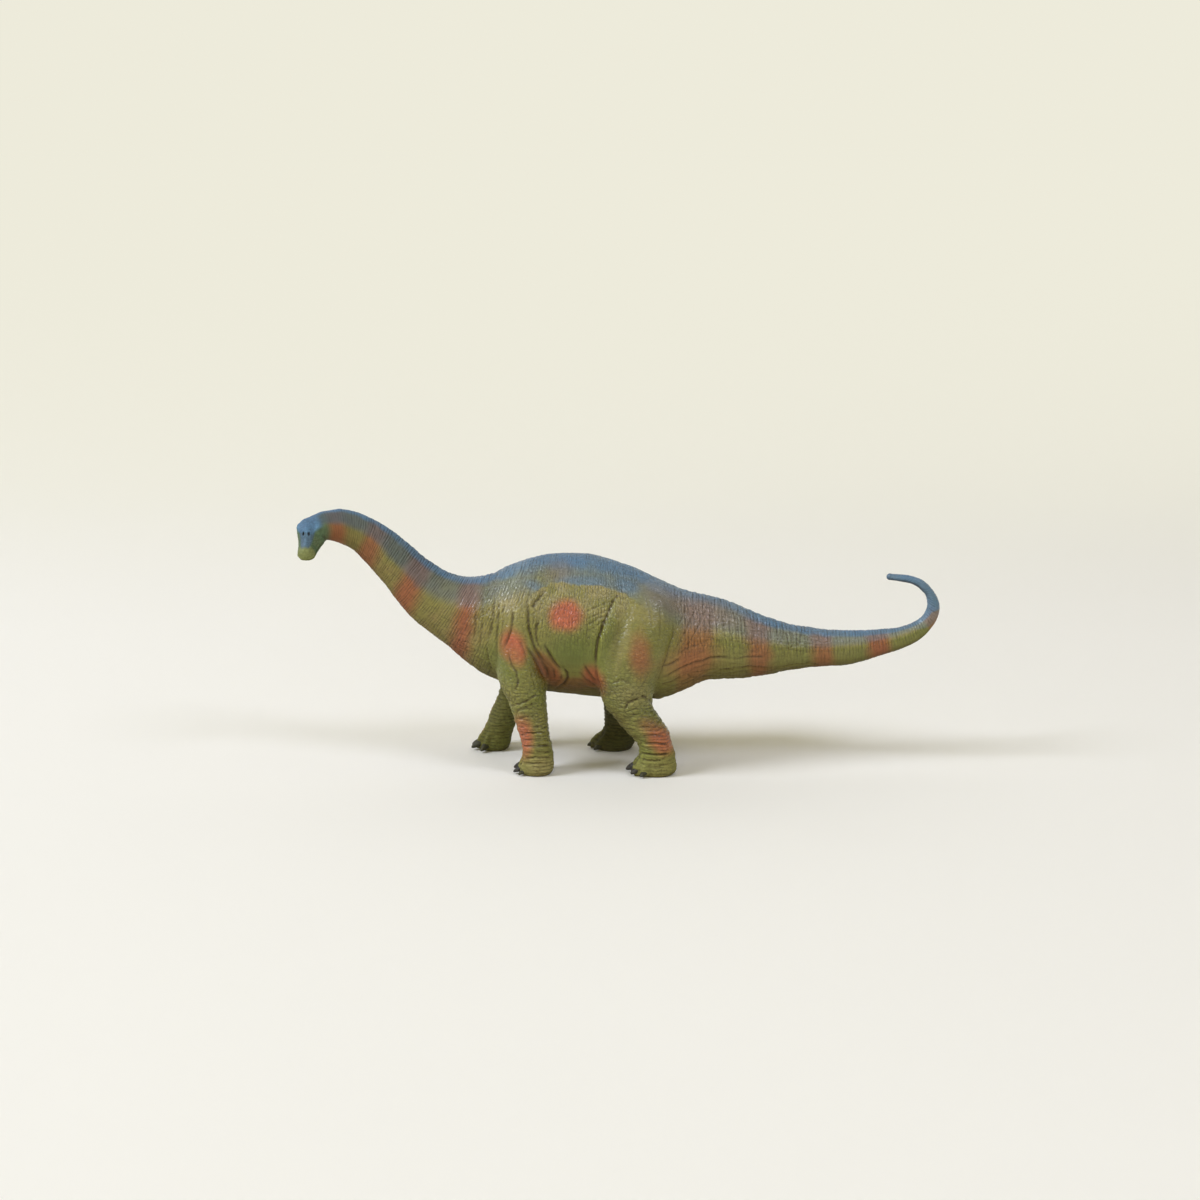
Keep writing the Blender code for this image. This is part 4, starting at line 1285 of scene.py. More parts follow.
@dataclass
class Skin:
    """The sculpted and painted skin of the whole figure.

    Attributes:
        trunk: The trunk under it.
        legs: The four legs.
        head: The head.
        view: The camera that carries picture points onto it.
        grain: The spacing of the mesh that the plain forms are fused with.
        body: The skin itself, once it is fused.
        facts: What is known of each of its vertices, by name.
    """

    trunk: Trunk
    legs: list[Leg]
    head: Head
    view: View
    grain: float = 0.00084
    body: bpy.types.Object | None = None
    facts: dict[str, np.ndarray] = field(default_factory=dict)

    def fuse(self) -> None:
        """Fuses the plain forms into one skin, evens it out and makes it finer."""
        forms = [self.trunk.build(), *self.head.build(), *(leg.build() for leg in self.legs)]
        deselect_all()
        for form in forms:
            form.select_set(True)
        bpy.context.view_layer.objects.active = forms[0]
        bpy.ops.object.join()
        self.body = bpy.context.active_object
        self.body.name = self.body.data.name = "whole_skin"
        apply_modifier(self.body, "REMESH", mode="VOXEL", voxel_size=self.grain)
        self.melt()
        apply_modifier(self.body, "SUBSURF", levels=1, render_levels=1)
        self.relax(3)
        LOG.info("fused skin: %d vertices", len(self.body.data.vertices))

    def relax(self, rounds: int, weight: np.ndarray | float = 0.5) -> None:
        """Evens the skin out without shrinking it much.

        Args:
            rounds: How many rounds there are.
            weight: How much of the way to its neighbours' mean each vertex goes.
        """
        points, edges = read_points(self.body), read_edges(self.body)
        share = np.broadcast_to(np.asarray(weight, float), (len(points),))[:, None]
        for _ in range(rounds):
            points = points + share * (neighbour_mean(points, edges) - points)
            points = points - 1.04 * share * (neighbour_mean(points, edges) - points)
        write_points(self.body, points)

    def melt(self) -> None:
        """Melts the legs into the body over the hip, the shoulder and the armpits, and the throat."""
        points, edges = read_points(self.body), read_edges(self.body)
        found = self.measure(points)
        near_seam = bell(found["trunk_out"] - found["leg_out"], 0.004)
        near_seam *= bell(np.maximum(found["trunk_out"], 0), 0.004)
        high = smooth_step(0.068, 0.084, points[:, 2])
        shoulder = smooth_step(-0.03, -0.045, points[:, 0]) * smooth_step(0.050, 0.066, points[:, 2])
        weight = near_seam * np.maximum(np.maximum(high, shoulder), 0.12)
        throat = smooth_step(1.2, 0.4, found["place"]) * smooth_step(-0.010, -0.004, found["past"])
        weight = np.clip(np.maximum(weight, 0.35 * throat), 0, 1)
        weight = np.clip(spread(weight, edges, 12) * 1.3, 0, 1)[:, None]
        for _ in range(70):
            points = points + 0.6 * weight * (neighbour_mean(points, edges) - points)
        write_points(self.body, points)
        self.relax(6)

    def measure(self, points: np.ndarray) -> dict[str, np.ndarray]:
        """Finds the place of each point on the trunk, on the nearest leg and in the picture.

        Args:
            points: Places in the frame, one row each.

        Returns:
            The trunk's measures, with the nearest leg, how far outside each the point lies, the point
            as it would be on the left side, and its picture point.
        """
        found = self.trunk.measure(points)
        outs = np.stack([leg.outside(points) for leg in self.legs], axis=1)
        nearest = outs.argmin(axis=1)
        found["leg"] = nearest
        found["leg_out"] = outs[np.arange(len(points)), nearest]
        found["trunk_out"] = found["outside"]
        share = 1 / (1 + np.exp(np.clip((found["leg_out"] - found["trunk_out"]) / 0.0012, -30, 30)))
        left = np.stack([points[:, 0], -np.abs(points[:, 1]), points[:, 2]], axis=1)
        for k, leg in enumerate(self.legs):
            on_leg = nearest == k
            left[on_leg, 0] -= share[on_leg] * leg.stride(points[on_leg, 2])
        found["leg_share"] = share
        found["left"] = left
        found["picture"] = self.view.project(left)
        return found

    def survey(self) -> None:
        """Measures the fused skin once, for the sculpting, the painting and the parting."""
        points, normals = read_points(self.body), read_normals(self.body)
        found = self.measure(points)
        found["edges"] = read_edges(self.body)
        found["points"] = points
        found["normals"] = normals
        plain = np.ones(len(points))
        mirrored = normals * np.stack([plain, -np.sign(points[:, 1]), plain], axis=1)
        found["facing"] = self.view.facing(found["left"], mirrored)
        level, steep = math.cos(self.view.tilt), math.sin(self.view.tilt)
        seen = np.abs(found["side"]) * steep - found["rise"] * level
        half = np.hypot(found["half_height"] * level, found["half_width"] * steep)
        found["down"] = 0.5 + 0.5 * seen / half
        on_head = found["place"] < HEAD_END
        found["head_share"] = smooth_step(0.0002, -0.0012, found["past"]) * on_head
        for name in ("leg_share", "head_share"):
            found[name] = spread(found[name], found["edges"], 4)
        self.facts = found

    def foot_height(self) -> np.ndarray:
        """Returns the toes round the front of each foot, in millimetres: a swelling at each claw.

        Returns:
            The height at each vertex, in millimetres.
        """
        found = self.facts
        points = found["points"]
        height = np.zeros(len(points))
        for k, leg in enumerate(self.legs):
            on_foot = (found["leg"] == k) & (points[:, 2] < 0.016) & (found["leg_share"] > 0.5)
            middle, depth, breadth = leg.section(points[on_foot, 2])
            away = points[on_foot] - middle
            turn = np.arctan2(leg.side * away[:, 1] / breadth, -away[:, 0] / depth) / math.tau
            low = smooth_step(0.014, 0.006, points[on_foot, 2])
            swelling = np.zeros(len(turn))
            for claw_turn, size in CLAW_SHARES:
                away_turn = turn - claw_turn - leg.claw_turn
                swelling = np.maximum(swelling, size * bell(away_turn, 0.028))
            front = smooth_step(0.31, 0.22, np.abs(turn - 0.05))
            ahead = smooth_step(0.20, 0.05, np.abs(turn - 0.02))
            wedge = smooth_step(0.0105, 0.002, points[on_foot, 2])
            height[on_foot] = low * front * (1.1 * swelling - 0.45) + leg.toe_reach * ahead * wedge
        return height

    def form_height(self) -> np.ndarray:
        """Returns the broad forms of muscle and bone, in millimetres.

        Returns:
            The height at each vertex, in millimetres.
        """
        found = self.facts
        seen = smooth_step(0.05, 0.4, found["facing"]) * (1 - found["head_share"])
        height = np.zeros(len(seen))
        for bump in BUMPS:
            height += bump.rise(found["picture"]) * seen
        return height

    def fold_height(self) -> np.ndarray:
        """Returns the folds along their lines of picture points, in millimetres.

        Returns:
            The height at each vertex, in millimetres.
        """
        found = self.facts
        seen = smooth_step(0.08, 0.40, found["facing"]) * (1 - found["head_share"])
        scale = 1000 * self.view.distance / self.view.focal_pixels
        height = np.zeros(len(seen))
        for fold in FOLDS:
            line = np.array(fold.line, float)
            margin = (fold.reach + 3 * fold.width) / scale
            low, high = line.min(axis=0) - margin, line.max(axis=0) + margin
            inside = ((found["picture"] > low) & (found["picture"] < high)).all(axis=1)
            close = np.flatnonzero(inside & (seen > 0))
            away, part = line_distance(found["picture"][close], line)
            away = away * scale
            taper = smooth_step(0, 0.2, part) * smooth_step(1, 0.8, part) * 0.75 + 0.25
            size = np.abs(away)
            groove = -bell(size, fold.width) - 0.22 * bell(size, 3.2 * fold.width)
            lips = 0.30 * (fold.width < 1.5) * bell(size - 2.1 * fold.width, fold.width)
            run = np.clip(away * np.sign(fold.bulge) / (0.4 * fold.reach), 0, None)
            swell = abs(fold.bulge) * (run * np.exp(1 - run)) ** 2
            height[close] += (fold.depth * (groove + lips) + swell) * taper * seen[close]
        return height

    def wrinkle_height(self) -> np.ndarray:
        """Returns the wrinkles that cover the skin, in millimetres, each kind in its own region.

        Returns:
            The height at each vertex, in millimetres.
        """
        found = self.facts
        points = found["points"] / MM
        run, rise, side = found["run"] / MM, found["rise"] / MM, found["side"] / MM
        place, leg_share = found["place"], found["leg_share"]
        body = (1 - leg_share) * (1 - found["head_share"])
        warp = np.stack([clouds(points / 5 + k * 17.3, 11 + k) for k in range(3)], axis=1)

        ring_gap = cracks(np.stack([run / 2.6, rise / 18, side / 18], axis=1) + 0.20 * warp, 21)
        net_gap = cracks(np.stack([run / 2.3, rise / 2.6, side / 2.6], axis=1) + 0.30 * warp, 31)
        leg_gap = cracks(points / (9, 9, 2.3) + 0.28 * warp, 41)
        pebbles = cracks(points / 2.4 + 0.2 * warp, 51)
        long_gap = cracks(np.stack([run / 17, rise / 2.8, side / 2.8], axis=1) + 0.22 * warp, 43)
        ring_form = 0.25 * np.minimum(ring_gap, 0.7) - bell(ring_gap, 0.18)
        net_form = 0.20 * np.minimum(net_gap, 0.6) - bell(net_gap, 0.17)
        leg_form = 0.40 * np.minimum(leg_gap, 0.7) - bell(leg_gap, 0.27)

        neck = smooth_step(10.2, 8.8, place)
        shoulder = smooth_step(8.4, 9.6, place) * smooth_step(12.2, 11.0, place)
        flank = smooth_step(10.8, 12.0, place) * smooth_step(16.6, 15.4, place)
        tail_root = smooth_step(15.4, 16.6, place) * smooth_step(22, 20, place)
        tail = smooth_step(20, 22, place)
        low = smooth_step(0.52, 0.78, found["down"])
        low_neck = (1 - 0.30 * smooth_step(0.30, 0.55, found["down"])) * smooth_step(-0.5, 3.5, place)
        patch = 0.75 + 0.35 * clouds(points / 11, 33)
        height = body * patch * ring_form * (
            0.24 * neck * low_neck + 0.32 * shoulder * (1 - 0.45 * low) + (0.12 - 0.09 * low) * flank
            + 0.42 * tail_root * (1 - 0.6 * low) + 0.18 * tail * (1 - 0.5 * low)
        )
        height += body * patch * net_form * (
            0.05 * neck + 0.16 * shoulder * (1 - 0.6 * low) + (0.18 - 0.13 * low) * flank
            + 0.12 * tail_root * (1 - 0.7 * low) + 0.10 * tail
        )
        cross = body * patch * bell(long_gap, 0.17)
        height -= cross * (
            0.10 * neck * low_neck + 0.20 * shoulder * (1 - 0.6 * low) + 0.16 * (1 - low) * flank
            + 0.34 * tail_root * (1 - 0.5 * low) + 0.12 * tail
        )
        under = smooth_step(0.74, 0.90, found["down"])
        long_share = shoulder + flank + tail_root
        height -= body * under * 0.34 * bell(long_gap, 0.24) * long_share
        low_front = smooth_step(0.55, 0.70, found["down"]) * smooth_step(0.5, 3.0, place) * neck
        height -= body * low_front * 0.16 * bell(long_gap, 0.20)
        slim = smooth_step(28.5, 31.5, place)
        found["region_net"] = 0.10 * neck + 0.45 * shoulder + 0.55 * flank + 0.45 * tail_root + 0.3 * tail
        found["region_depth"] = (
            neck * (0.30 + 0.70 * low_neck) + shoulder + flank * (1 - 0.8 * low)
            + tail_root * (1 - 0.6 * low) + tail * (0.9 - 0.5 * low)
        )

        z = found["points"][:, 2] / self.trunk.height
        shank = smooth_step(0.38, 0.24, z)
        foot = smooth_step(0.09, 0.04, z)
        thigh = 1 - shank
        height += leg_share * leg_form * (0.38 * shank * (1 - 0.55 * foot) + 0.06 * thigh)
        height += leg_share * net_form * (0.10 * thigh + 0.16 * shank)
        knee = bell(z - 0.36, 0.08)
        height += leg_share * (0.03 + 0.24 * knee) * (np.minimum(pebbles, 0.5) - 0.25) * 2
        height += 0.12 * clouds(points / 4.2, 61) + 0.20 * clouds(points / 9, 62)
        height = height * (1 - 0.8 * found["head_share"]) * (1 - 0.8 * slim)
        return height - 0.06 * slim

    def sculpt(self) -> None:
        """Presses the forms, the folds, the wrinkles and the toes into the skin."""
        found = self.facts
        fine = self.fold_height() + self.wrinkle_height()
        height = fine + self.form_height() + self.foot_height()
        found["relief"] = height - spread(height, found["edges"], 14, 0.6)
        points = found["points"] + found["normals"] * (height * MM)[:, None]
        sole = found["points"][:, 2] < 0.0012
        points[sole] = found["points"][sole]
        points[:, 2] = np.maximum(points[:, 2], 0)
        write_points(self.body, points)
        smooth = spread(points, found["edges"], 30, 0.6)
        found["hollow"] = np.sum((smooth - points) * read_normals(self.body), axis=1) / MM
        LOG.info("sculpted: relief from %.2f to %.2f mm", height.min(), height.max())

    def paint(self) -> None:
        """Lays the paint on: base, sprayed back, bands, spots, wash, dry brush, and painted shade and
        highlights.
        """
        found = self.facts
        points = found["points"] / MM
        normals = found["normals"]
        place, down, leg_share = found["place"], found["down"], found["leg_share"]
        broad, middle, small = clouds(points / 14, 71), clouds(points / 5, 72), clouds(points / 2, 73)
        colour = np.tile(Paint.OLIVE.linear(), (len(points), 1))
        colour = spray(colour, Paint.GREEN, np.clip(0.5 + 0.5 * broad + 0.25 * middle, 0, 1) * 0.8)
        # Tan on the upper part of each section: partly the tan paint of the back, partly a painted highlight
        # from above
        upper = smooth_step(0.62, 0.35, down) * (1 - leg_share)
        colour = spray(colour, Paint.TAN, 0.70 * np.clip(0.75 + 0.7 * middle, 0, 1) * np.maximum(upper, 0.20))

        blue_edge, grey_edge = (np.interp(place, BACK_SPRAY[:, 0], BACK_SPRAY[:, k]) for k in (1, 2))
        crisp = smooth_step(11.2, 11.8, place) * smooth_step(14.2, 13.8, place)
        rough = down + (0.030 - 0.012 * crisp) * middle + 0.010 * small
        soft = 0.09 * (1 - crisp)
        grey = 1 - smooth_step(grey_edge - soft - 0.01, grey_edge + soft + 0.01, rough)
        front = smooth_step(11.0, 9.5, place)
        lower = smooth_step(0.35, 0.75, down) * np.clip(0.75 + 0.5 * middle, 0, 1)
        colour = spray(colour, Paint.KHAKI, (0.15 + 0.45 * lower) * front)
        colour = spray(colour, Paint.CHEEK, 0.90 * smooth_step(0.55, 0.10, place))
        for band in BANDS:
            colour = spray(colour, Paint.RUST, self.band_cover(band, middle))
        seen = smooth_step(-0.15, 0.30, found["facing"]) * (1 - found["head_share"])
        over = (Paint.MAUVE, Paint.BLUE, Paint.OLIVE)
        for spot in SPOTS:
            if spot.paint not in over:
                colour = spray(colour, spot.paint, spot.cover(found["picture"], middle) * seen)
        on_neck = smooth_step(10.5, 8.5, place)
        on_tail = smooth_step(17.5, 19.5, place) * smooth_step(26.0, 24.0, place)
        cover = 0.58 + 0.14 * crisp - 0.06 * on_tail - 0.16 * on_neck + 0.14 * middle
        colour = spray(colour, Paint.GREY_BLUE, np.clip(cover, 0, 1) * grey)
        slate = 0.30 + 0.35 * smooth_step(7.5, 5.5, place) + 0.12 * smooth_step(3.0, 0.5, place)
        colour = spray(colour, Paint.SLATE, slate * on_neck * grey)
        for band in BANDS:
            faint = 0.10 + 0.60 * smooth_step(1.0, 4.0, place)
            colour = spray(colour, Paint.MAUVE, faint * self.band_cover(band, middle) * grey)
        blue = 1 - smooth_step(blue_edge - 0.055, blue_edge + 0.055, rough)
        colour = spray(colour, Paint.BLUE, (0.80 - 0.14 * middle - 0.10 * broad) * blue)
        for spot in SPOTS:
            if spot.paint in over:
                colour = spray(colour, spot.paint, spot.cover(found["picture"], middle) * seen * grey)
        colour = self.paint_head(colour, middle)

        # Brown on the faces that turn down: partly the brown paint of the belly, partly painted shade under
        # the body
        under = smooth_step(-0.10, -0.85, normals[:, 2]) * (1 - 0.6 * found["head_share"])
        colour = spray(colour, Paint.BROWN, (0.62 - 0.20 * on_neck) * under)
        # Painted shade on the legs' inner sides, darkest on the hind legs, as if they lay in the body's
        # shadow
        inner = smooth_step(0.15, -0.35, normals[:, 1] * np.sign(points[:, 1])) * leg_share
        colour = spray(colour, Paint.DEEP, (0.42 + 0.36 * smooth_step(-35, -20, points[:, 0])) * inner)
        # Painted shade: the neck, the tail's end and the tops of the hind legs are darkened as if they got
        # less light
        thigh = leg_share * smooth_step(22, 32, points[:, 2]) * smooth_step(-20, 0, points[:, 0])
        tail_end = smooth_step(17.5, 19.5, place) * smooth_step(26.5, 25.0, place)
        colour = colour * (1 - 0.15 * on_neck - 0.13 * tail_end - 0.10 * thigh)[:, None]
        wash = np.clip(-found["relief"] * 2.8, 0, 1) * 0.80
        wash += np.clip(-found["hollow"] * 0.8 - 0.1, 0, 1) * 0.65
        colour = spray(colour, Paint.BROWN, np.clip(wash, 0, 0.90))
        brush = np.clip(found["relief"] * 3.0, 0, 1) * (0.6 + 0.4 * small)
        colour = colour * (1 + 0.45 * np.clip(brush, 0, 1))[:, None]
        colour = np.clip(colour * (1 + 0.06 * broad + 0.06 * small)[:, None], 0.004, 0.9)
        found["gloss"] = 1 - 0.80 * np.maximum(smooth_step(0.1, -0.6, normals[:, 2]), inner)
        found["gloss"] *= 1 - 0.50 * smooth_step(8.5, 6.5, place)
        found["gloss"] *= 1 - 0.70 * leg_share * smooth_step(17, 12, points[:, 2])
        found["colour"] = colour

    def band_cover(self, band: Band, middle: np.ndarray) -> np.ndarray:
        """Finds how thickly one band round the neck or the tail covers the skin.

        Args:
            band: The band.
            middle: The noise that makes its edges uneven.

        Returns:
            The cover at each vertex.
        """
        found = self.facts
        down = np.clip(found["down"], 0, 1)
        first = band.top[0] + (band.bottom[0] - band.top[0]) * down
        last = band.top[1] + (band.bottom[1] - band.top[1]) * down
        place = found["place"] + 0.10 * middle
        soft = np.where(found["place"] < 10.5, 0.40, 0.24)
        cover = smooth_step(first - soft, first + soft, place) * smooth_step(last + soft, last - soft, place)
        cover = cover * smooth_step(band.start - 0.05, band.start + 0.10, found["down"] + 0.03 * middle)
        return cover * band.strength * (1 - found["leg_share"]) * (1 - found["head_share"])

    def paint_head(self, colour: np.ndarray, middle: np.ndarray) -> np.ndarray:
        """Paints the head: a blue cap and bridge, green cheeks, a yellow-green snout and a faint painted
        highlight on each side of the face.

        Args:
            colour: The colours so far, one row for each vertex.
            middle: The noise that makes the paints' edges uneven.

        Returns:
            The colours with the head painted.
        """
        found = self.facts
        share = self.head.shares(found["points"])
        along, height, side = share[:, 0] + 0.03 * middle, share[:, 1], np.abs(share[:, 2])
        on_head = found["head_share"] * smooth_step(-0.0002, -0.0040, found["past"])
        painted = np.tile(Paint.CHEEK.linear(), (len(along), 1))
        painted = spray(painted, Paint.SNOUT, smooth_step(0.74, 0.88, along))
        # Painted highlight: a faint pale patch on each side of the face, where the light falls
        patch = smooth_step(0.26, 0.34, side)
        patch = patch * smooth_step(0.50, 0.56, along) * smooth_step(0.74, 0.66, along)
        painted = spray(painted, Paint.TAN, 0.10 * patch)
        cap = smooth_step(0.55, 0.50, along) * smooth_step(0.20, 0.33, height + 0.10 * (0.4 - along))
        narrow = 0.31 - 0.15 * np.clip((along - 0.5) / 0.35, 0, 1)
        bridge = smooth_step(narrow + 0.05, narrow - 0.05, side) * smooth_step(0.88, 0.78, along)
        bridge = bridge * smooth_step(0.0, 0.1, height)
        painted = spray(painted, Paint.SLATE, 0.90 * bridge)
        painted = spray(painted, Paint.BLUE, np.clip(0.93 * cap + 0.45 * bridge, 0, 0.94))
        return colour + (painted - colour) * on_head[:, None]

    def store(self) -> None:
        """Writes what the finishes read into the skin's attributes."""
        found = self.facts
        mesh = self.body.data
        paint = mesh.attributes.new("paint", "FLOAT_COLOR", "POINT")
        rgba = np.concatenate([found["colour"], found["gloss"][:, None]], axis=1)
        paint.data.foreach_set("color", rgba.astype(np.float32).ravel())
        stations = (0, 9, 11, 15, 18, 32)
        ring_step = np.interp(found["place"], stations, (1.15, 1.3, 1.6, 1.5, 1.7, 1.3)) * MM
        round_step = np.interp(found["place"], stations, (3.4, 3.2, 3.0, 2.4, 2.6, 3.2)) * MM
        rows = np.interp(found["run"], *self.row_count(ring_step))
        grain = np.stack([rows, found["rise"] / round_step, found["side"] / round_step], axis=1)
        write_vector(mesh, "grain", grain)
        limb = np.maximum(found["leg_share"], found["head_share"])
        write_value(mesh, "limb", limb)
        z = found["points"][:, 2] / self.trunk.height
        limb_net = 0.35 + 0.35 * smooth_step(0.16, 0.26, z)
        write_value(mesh, "net", found["region_net"] * (1 - limb) + limb * limb_net)
        leg_depth = 0.34 + 0.56 * smooth_step(0.46, 0.32, z)
        limb_depth = np.where(found["head_share"] > 0.5, 0.35, leg_depth)
        write_value(mesh, "depth", found["region_depth"] * (1 - limb) + limb * limb_depth)
        write_vector(mesh, "skin_normal", read_normals(self.body))

    def row_count(self, ring_step: np.ndarray) -> tuple[np.ndarray, np.ndarray]:
        """Counts the rows of fine wrinkles along the trunk.

        Args:
            ring_step: How far apart the rows are at each vertex.

        Returns:
            Runs along the trunk, and how many rows lie before each.
        """
        order = np.argsort(self.facts["run"])[::200]
        run, step = self.facts["run"][order], ring_step[order]
        rows = np.concatenate([[0], np.cumsum(np.diff(run) / step[:-1])])
        return run, rows

    def part(self) -> dict[str, bpy.types.Object]:
        """Parts the skin along the seams of the mouldings.

        Returns:
            The parts by the name of the moulding that each stands for.
        """
        names = ["head", "neck", "torso_left", "torso_right", "tail", *(leg.name for leg in self.legs)]
        found = self.facts
        place = found["place"]
        kind = np.where(place < self.trunk.neck_seam, 1, np.where(place > self.trunk.tail_seam, 4, 0))
        torso = np.where(found["points"][:, 1] < 0, 2, 3)
        kind = np.where(kind == 0, torso, kind)
        kind = np.where((place < HEAD_END) & (found["past"] < 0), 0, kind)
        kind = np.where(found["leg_share"] > 0.5, 5 + found["leg"], kind)
        mesh = self.body.data
        votes = kind[read_array(mesh.loops, "vertex_index", kind=np.int32).reshape(-1, 4)]
        counts = np.stack([(votes == k).sum(axis=1) for k in range(len(names))], axis=1)
        mesh.polygons.foreach_set("material_index", counts.argmax(axis=1).astype(np.int32))
        for name in names:
            mesh.materials.append(bpy.data.materials.new(f"seam_{name}"))
        choose(self.body)
        bpy.ops.object.mode_set(mode="EDIT")
        bpy.ops.mesh.separate(type="MATERIAL")
        bpy.ops.object.mode_set(mode="OBJECT")
        parts = {}
        for piece in list(bpy.context.selected_objects):
            index = piece.data.polygons[0].material_index
            name = piece.data.materials[index].name.removeprefix("seam_")
            piece.name = piece.data.name = f"{name}_skin"
            parts[name] = piece
        return parts


@dataclass
class NodeTree:
    """The nodes of one material or world.

    Attributes:
        tree: The node tree that they are added to.
    """

    tree: bpy.types.NodeTree

    def add(self, kind: str, inputs: dict | None = None, **settings: object) -> bpy.types.Node:
        """Adds a node.

        Args:
            kind: Its type, without the word ShaderNode in front.
            inputs: For each input, by name or number, its value or the output that feeds it.
            **settings: What is set on the node itself.

        Returns:
            The node.
        """
        node = self.tree.nodes.new(f"ShaderNode{kind}")
        for name, value in settings.items():
            setattr(node, name, value)
        self.feed(node, inputs or {})
        return node

    def feed(self, node: bpy.types.Node, inputs: dict) -> None:
        """Sets a node's inputs, or links them where the value is another node's output.

        Args:
            node: The node.
            inputs: The values, by the name or number of the input.
        """
        for name, value in inputs.items():
            if isinstance(value, bpy.types.NodeSocket):
                self.tree.links.new(value, node.inputs[name])
            else:
                node.inputs[name].default_value = value

    def place(self) -> bpy.types.NodeSocket:
        """Adds the Object coordinates."""
        return self.add("TexCoord").outputs["Object"]

    def attribute(self, name: str) -> bpy.types.NodeSocketCollection:
        """Adds a node that reads one of the skin's attributes, and returns its outputs."""
        return self.add("Attribute", attribute_name=name).outputs

    def noise(self, place: bpy.types.NodeSocket, scale: float, detail: float = 2) -> bpy.types.Node:
        """Adds a noise with its lumps in a metre or in a unit of the place, and its detail."""
        return self.add("TexNoise", {"Vector": place, "Scale": scale, "Detail": detail})

    def math(self, operation: str, *values: object) -> bpy.types.NodeSocket:
        """Adds a sum, such as MAXIMUM, of numbers and other nodes' outputs."""
        return self.add("Math", dict(enumerate(values)), operation=operation).outputs["Value"]

    def blend(self, share: bpy.types.NodeSocket, first: object, second: object) -> bpy.types.NodeSocket:
        """Blends two numbers: the first where the share is 0 and the second where it is 1."""
        return self.add("Mix", {"Factor": share, 2: first, 3: second}).outputs[0]

    def grade(
        self, value: bpy.types.NodeSocket, low: float = 0, high: float = 1,
        first: float = 0, last: float = 1, smooth: bool = False,
    ) -> bpy.types.NodeSocket:
        """Maps a value's range onto another.

        Args:
            value: The value.
            low: The start of its range.
            high: The end of its range.
            first: What the start becomes.
            last: What the end becomes.
            smooth: Whether it eases in and out.

        Returns:
            The new value.
        """
        ends = {"From Min": low, "From Max": high, "To Min": first, "To Max": last}
        kind = "SMOOTHSTEP" if smooth else "LINEAR"
        return self.add("MapRange", {"Value": value, **ends}, interpolation_type=kind).outputs["Result"]

    def two_tone(
        self, value: bpy.types.NodeSocket, colours: tuple, places: tuple[float, float] = (0, 1)
    ) -> bpy.types.NodeSocket:
        """Adds a ramp between two colours.

        Args:
            value: Where on the ramp the colour is read.
            colours: The two colours.
            places: Where on the ramp they stand.

        Returns:
            The colour.
        """
        node = self.add("ValToRGB", {"Fac": value})
        for element, colour, place in zip(node.color_ramp.elements, colours, places):
            element.position = place
            element.color = (*colour, 1)
        return node.outputs["Color"]


